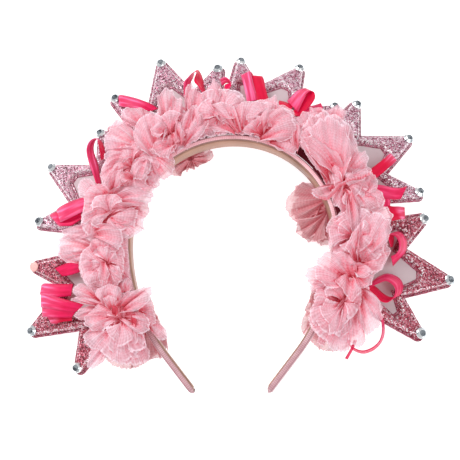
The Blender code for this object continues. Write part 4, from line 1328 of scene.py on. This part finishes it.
def shade_hollows(whole):
    """Raise the shade layer where other net lies close round a point, as deep between petals."""
    tree = BVHTree.FromBMesh(whole)
    shade = whole.verts.layers.float["shade"]
    looks = [Vector((0.07, -0.28, 0.96))]
    looks += [Vector((0.75 * cos(tau * turn / 8), 0.75 * sin(tau * turn / 8), 0.66)) for turn in range(8)]
    for vert in whole.verts:
        hits = [tree.ray_cast(vert.co + look * 0.0005, look, HOLLOW_REACH)[0] for look in looks]
        vert[shade] = max(vert[shade], sum(hit is not None for hit in hits) / len(looks))


def build_gathers(finish):
    """Gathers of the tulle along the band's outer face, painted near black as the deep shadow there."""
    length = GATHERS_END - GATHERS_START
    bm = flat_sheet(400, 6, length, GATHERS_WIDTH)
    layers = add_layers(bm, TULLE_LAYERS)
    for vert in bm.verts:
        s, v = GATHERS_START + length * (vert.co.x + 0.5), vert.co.y + 0.5
        fold = ridge(s / 0.0004 + 4.0 * noise.noise(Vector((s * 260, 0.0, 5.0))))
        for layer, value in zip(layers, (0.1 * v, 0.7 * v, fold, 0.2, 0.95 - 0.3 * v)):
            vert[layer] = value
        height = GATHERS_HEIGHT + 0.0012 * v + 0.0005 * fold * v
        vert.co = on_hoop(s, BAND_FACE + GAP + GATHERS_WIDTH * v, height)
    piece = finished("tulle_gathers", bm, [finish], None)


def build_flowers(node, flowers, rings, gather, room, finish):
    """Tulle flowers: rings of gathered petals with the large petals on top."""
    for count, flower in enumerate(flowers, 1):
        seed = flower.seed * 1.7
        sheets = [
            petal(flower, ring, gather, room, number, seed + place * 0.61)
            for place, ring in enumerate(rings) for number in range(ring.petals)
        ]
        shapes = PETALS.get(f"{node}_{count}", ())
        sheets += [shaped_petal(shape, room, seed + number * 0.83) for number, shape in enumerate(shapes)]
        whole = joined(sheets, TULLE_LAYERS)
        shade_hollows(whole)
        area = sum(face.calc_area() for face in whole.faces)
        piece = finished(f"tulle_{node}_{count}", whole, [finish], f"{node}_{count}")
        area / 0.035


def build_tulle():
    """Gathers along the band in painted shadow, and the flowers in front of and behind it, those behind in a
    copy of the tulle with painted shade.
    """
    pale = tulle_finish("pale pink tulle", (
        (0.0, (0.50, 0.03, 0.06, 1)), (0.16, (0.72, 0.14, 0.19, 1)), (0.36, (0.79, 0.32, 0.395, 1)),
        (0.60, (0.84, 0.46, 0.54, 1)), (1.0, (0.90, 0.64, 0.73, 1)),
    ), (0.93, 0.75, 0.83, 1))
    # painted shade: the flowers behind the band take a darker, duskier copy of the pale tulle
    dusky = tulle_finish("dusky rose tulle", (
        (0.0, (0.40, 0.08, 0.09, 1)), (0.3, (0.58, 0.22, 0.25, 1)), (0.6, (0.68, 0.33, 0.36, 1)),
        (1.0, (0.78, 0.46, 0.49, 1)),
    ), (0.84, 0.54, 0.58, 1))
    # painted shadow: a near-black copy of the tulle for the deep shade between the band and the flowers
    deep = tulle_finish("deep rose tulle", (
        (0.0, (0.08, 0.003, 0.010, 1)), (0.35, (0.16, 0.008, 0.020, 1)), (0.75, (0.30, 0.03, 0.05, 1)),
        (1.0, (0.42, 0.08, 0.11, 1)),
    ), (0.42, 0.08, 0.11, 1), (0.05, 0.0, 0.005, 1))
    build_gathers(deep)
    build_flowers("flower", FRONT_FLOWERS, FRONT_RINGS, FRONT_GATHER, FRONT_ROOM, pale)
    build_flowers("back_flower", BACK_FLOWERS, BACK_RINGS, BACK_GATHER, BACK_ROOM, dusky)


def build_floor():
    """Pale floor just under the part."""
    finish = Finish("pale floor", roughness=0.9, emission_color=(1.0, 1.0, 1.0, 1), emission_strength=0.8)
    finish.paint(finish.cloud(3.0), (0.62, 0.62, 0.62, 1), (0.65, 0.65, 0.65, 1))
    bm = bmesh.new()
    bmesh.ops.create_grid(bm, x_segments=4, y_segments=4, size=2.0)
    floor = placed("floor", mesh_of("floor", bm, [finish.material]))
    floor.location.z = -0.0003


def build_lights():
    """White surroundings with a key light and a fill light."""
    world = bpy.data.worlds.new("studio")
    world.use_nodes = True
    background = world.node_tree.nodes["Background"]
    background.inputs["Color"].default_value = (1.0, 1.0, 1.0, 1)
    background.inputs["Strength"].default_value = WORLD_STRENGTH
    bpy.context.scene.world = world
    for name, (spot, size, power) in LIGHTS.items():
        lamp = bpy.data.lights.new(name, "AREA")
        lamp.size = size
        lamp.energy = power
        light = placed(name, lamp)
        light.location = spot
        light.rotation_euler = (-Vector(spot)).to_track_quat("-Z", "Y").to_euler()


def build_camera():
    """Camera at the photograph's angle."""
    lens = bpy.data.cameras.new("view")
    lens.lens = CAMERA_LENS
    lens.clip_start = 0.01
    camera = placed("view", lens)
    matrix = Matrix((RIGHT, UP, TOWARDS)).transposed().to_4x4()
    matrix.translation = CAMERA_PLACE
    camera.matrix_world = matrix
    bpy.context.scene.camera = camera
    bpy.context.scene.view_settings.view_transform = "Standard"


build_floor()
build_lights()
build_camera()
build_band()
build_crowns()
build_bows()
build_tulle()
